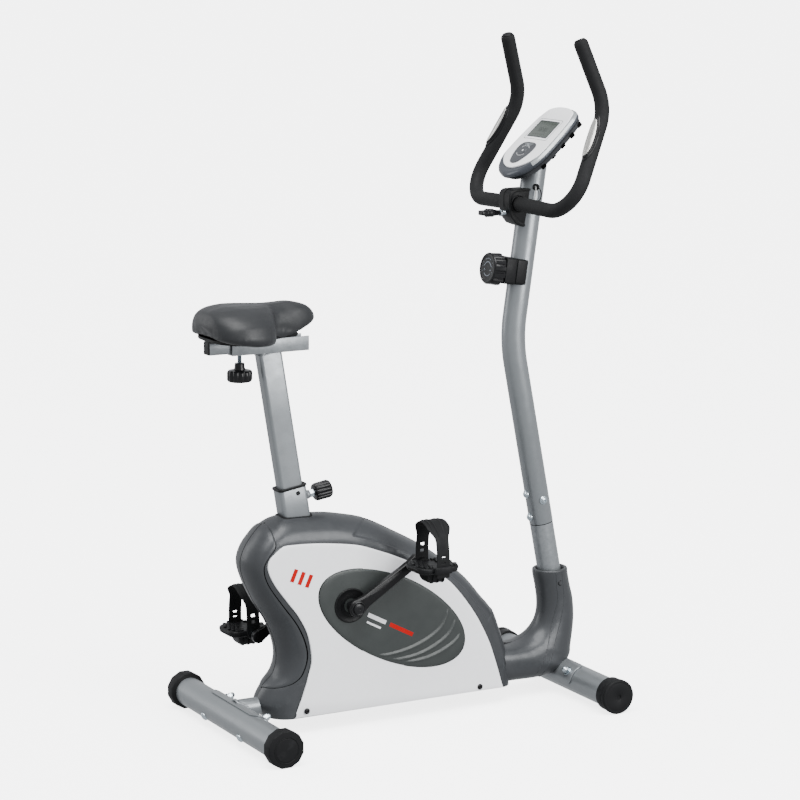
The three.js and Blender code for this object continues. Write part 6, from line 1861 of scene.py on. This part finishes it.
    # The vent slots are near-black blocks of painted shade set in the sides of the back.
    for sign in (1, -1):
        for step in range(5):
            a = 46 - 30 * step
            b = sign * (65.8 - 3.2 * ease(abs(a + 20), 50, 80) - 10.5 * ease(a, 20, 60))
            block = []
            for h, grow in ((-28.3, 0), (-20.5, 0.3)):
                block.append([in_console(a + da, b + db - sign * (1.2 if h < -22 else 0), h)
                              for da, db in rounded_rectangle(11 + grow, 5, 1, 3)])
            name = f"console_vent_shade_{'left' if sign > 0 else 'right'}_{step + 1}"
            piece(name, rings_mesh("vent", block, caps=(True, True)), PAINTED_SHADE, slot="grey_shell", smooth=30)
    socket = []
    for h, grow in ((-46, -6), (-44, -2), (-34, 3), (-24, 6)):
        ring = []
        for step in range(40):
            angle = 2 * pi * step / 40
            ring.append(in_console(-17 + (30 + grow) * cos(angle) * 1.1, (28 + grow) * sin(angle), h))
        socket.append(ring)
    piece("console_socket", rings_mesh("socket", socket, caps=(True, True)), CONSOLE_BACK,
          slot="grey_shell", smooth=50)


# ---------------------------------------------------------------- resistance dial
DIAL = Vector((213.8, 0, 912.8))
DIAL_IN = Vector((0.9896, 0, -0.1439)).normalized()
DIAL_UP = Vector((0.1439, 0, 0.9896)).normalized()


def at_dial(distance, across, rise):
    """A place by the resistance dial, in from its face, across and up."""
    return DIAL + DIAL_IN * distance + Vector((0, across, 0)) + DIAL_UP * rise


def make_dial():
    """The resistance dial with its housing."""
    boxes = []
    for low, high, half, tall in ((30.5, 55.6, 27.6, 27.4), (57.0, 81.5, 26.8, 26.8)):
        rings = [[at_dial(d, a, b) for a,
                  b in rounded_rectangle(2 * half, 2 * tall, 5, 4)] for d in (low, high)]
        boxes.append(rings_mesh("box", rings, caps=(True, True)))
    piece("dial_housing_box", joined("boxes", boxes), BLACK, slot="black_plastic",
          stands_for="resistance_housing",
          bevel=(1.3, 3))
    # A near-black band of painted shade in the gap between the housing's two boxes.
    rings = [[at_dial(d, a, b) for a, b in rounded_rectangle(50, 50, 4, 4)] for d in (54, 60)]
    piece("dial_housing_gap_shade", rings_mesh("gap", rings, caps=(True, True)), PAINTED_SHADE, slot="black_plastic")
    collar = lathe("collar", DIAL, DIAL_IN, [(26.5, 20), (27, 24.6), (31.5, 26.4), (33, 26.4)], 64)
    piece("dial_collar", collar, GLOSS_BLACK, slot="black_plastic")
    profile = [(1.7, 0.01), (1.7, 22), (1.9, 24.2), (1.2, 25.4), (0.2, 26.4), (0, 27.8), (0.3, 29.6),
               (1.6, 31.6), (3.6, 32.8),
               (4.6, 33.2), (26.0, 34.6), (27.6, 34.2), (28, 32), (28, 22)]

    def lobes(angle, distance, radius):
        if distance < 4 or radius < 30:
            return radius
        wave = 0.5 + 0.5 * cos(14 * angle)
        raised = 1.3 * ease(0.5 + 0.5 * cos(4 * angle), 0.88, 0.97)
        return radius - 2.3 * (1 - ease(wave, 0.12, 0.5)) + raised - 0.9

    knob = lathe("dial", DIAL, DIAL_IN, profile, 224, lobes)
    piece("dial_knob", knob, GLOSS_BLACK, "resistance_knob", slot="black_plastic",
          stands_for="resistance_knob", smooth=40)
    parts = []

    def stroke(points, thick):
        line = [at_dial(1.62, a, b) for a, b in points]
        parts.append(swept("stroke", line, rounded_rectangle(0.3, thick, 0.1, 2), DIAL_IN))

    for start, end, radius, thick in ((28, 152, 13.4, 1.7), (222, 318, 15.6, 1.3), (58, 122, 20.2, 1.0)):
        stroke([(radius * cos(radians(start + (end - start) * k / 30)),
                 radius * sin(radians(start + (end - start) * k / 30)))
                for k in range(31)], thick)
    for sign in (-1, 1):
        stroke([(sign * 9.2, -3.2), (sign * 14.2, -3.2)], 1.5)
        stroke([(sign * 11.8, 6.3), (sign * 15.6, 4.2)], 1.6)
    stroke([(11.7, -5.6), (11.7, -0.8)], 1.5)
    for step in range(9):
        angle = radians(200 - 27.5 * step)
        stroke([(22.6 * cos(angle), 22.6 * sin(angle)),
                ((20.4 - 0.2 * step) * cos(angle), (20.4 - 0.2 * step) * sin(angle))], 0.7)
    piece("dial_marks", joined("marks", parts), DIAL_MARK, "resistance_knob", slot="white_panel", smooth=40)


# ---------------------------------------------------------------- pieces that stay as the CAD made them
INNER_FINISHES = {
    "crank_axle": "ZINC", "crank_bearing_left": "IRON", "crank_bearing_right": "IRON",
    "drive_pulley": "BLACK",
    "flywheel": "IRON", "flywheel_bracket": "COATED_STEEL", "magnet_bracket": "COATED_STEEL",
    "drive_belt": "RUBBER",
    "tension_cable": "RUBBER", "handlebar_clamp": "SILVER",
}


def finish_inner_pieces():
    """Give the nodes that stay as the CAD made them their materials."""
    materials = {"ZINC": ZINC, "IRON": IRON, "BLACK": BLACK, "COATED_STEEL": COATED_STEEL, "RUBBER": RUBBER,
                 "SILVER": SILVER}
    for name, finish in INNER_FINISHES.items():
        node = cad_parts[name]
        node.data.materials.clear()
        node.data.materials.append(materials[finish])


def write_size():
    """Works out the boxes of the CAD and of the visible pieces, and keeps nothing of them."""
    boxes = {"cad": cad_box, "visual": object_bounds()}
    {name: [list(corner) for corner in box] for name, box in boxes.items()}


make_camera()
make_studio()
make_rear_trim()
make_shell_halves()
make_side_panels()
make_oval_covers()
make_graphics()
make_boot()
make_posts()
make_stabilisers()
make_beam()
make_fasteners()
make_floor_caps()
make_seat_tube()
make_seat_post()
make_height_knob()
make_saddle_knob()
make_crank_arms()
make_pedals()
make_saddle()
make_handlebar()
make_pulse_sensors()
make_clamp()
make_sensor_leads()
make_console()
make_dial()
finish_inner_pieces()
write_size()
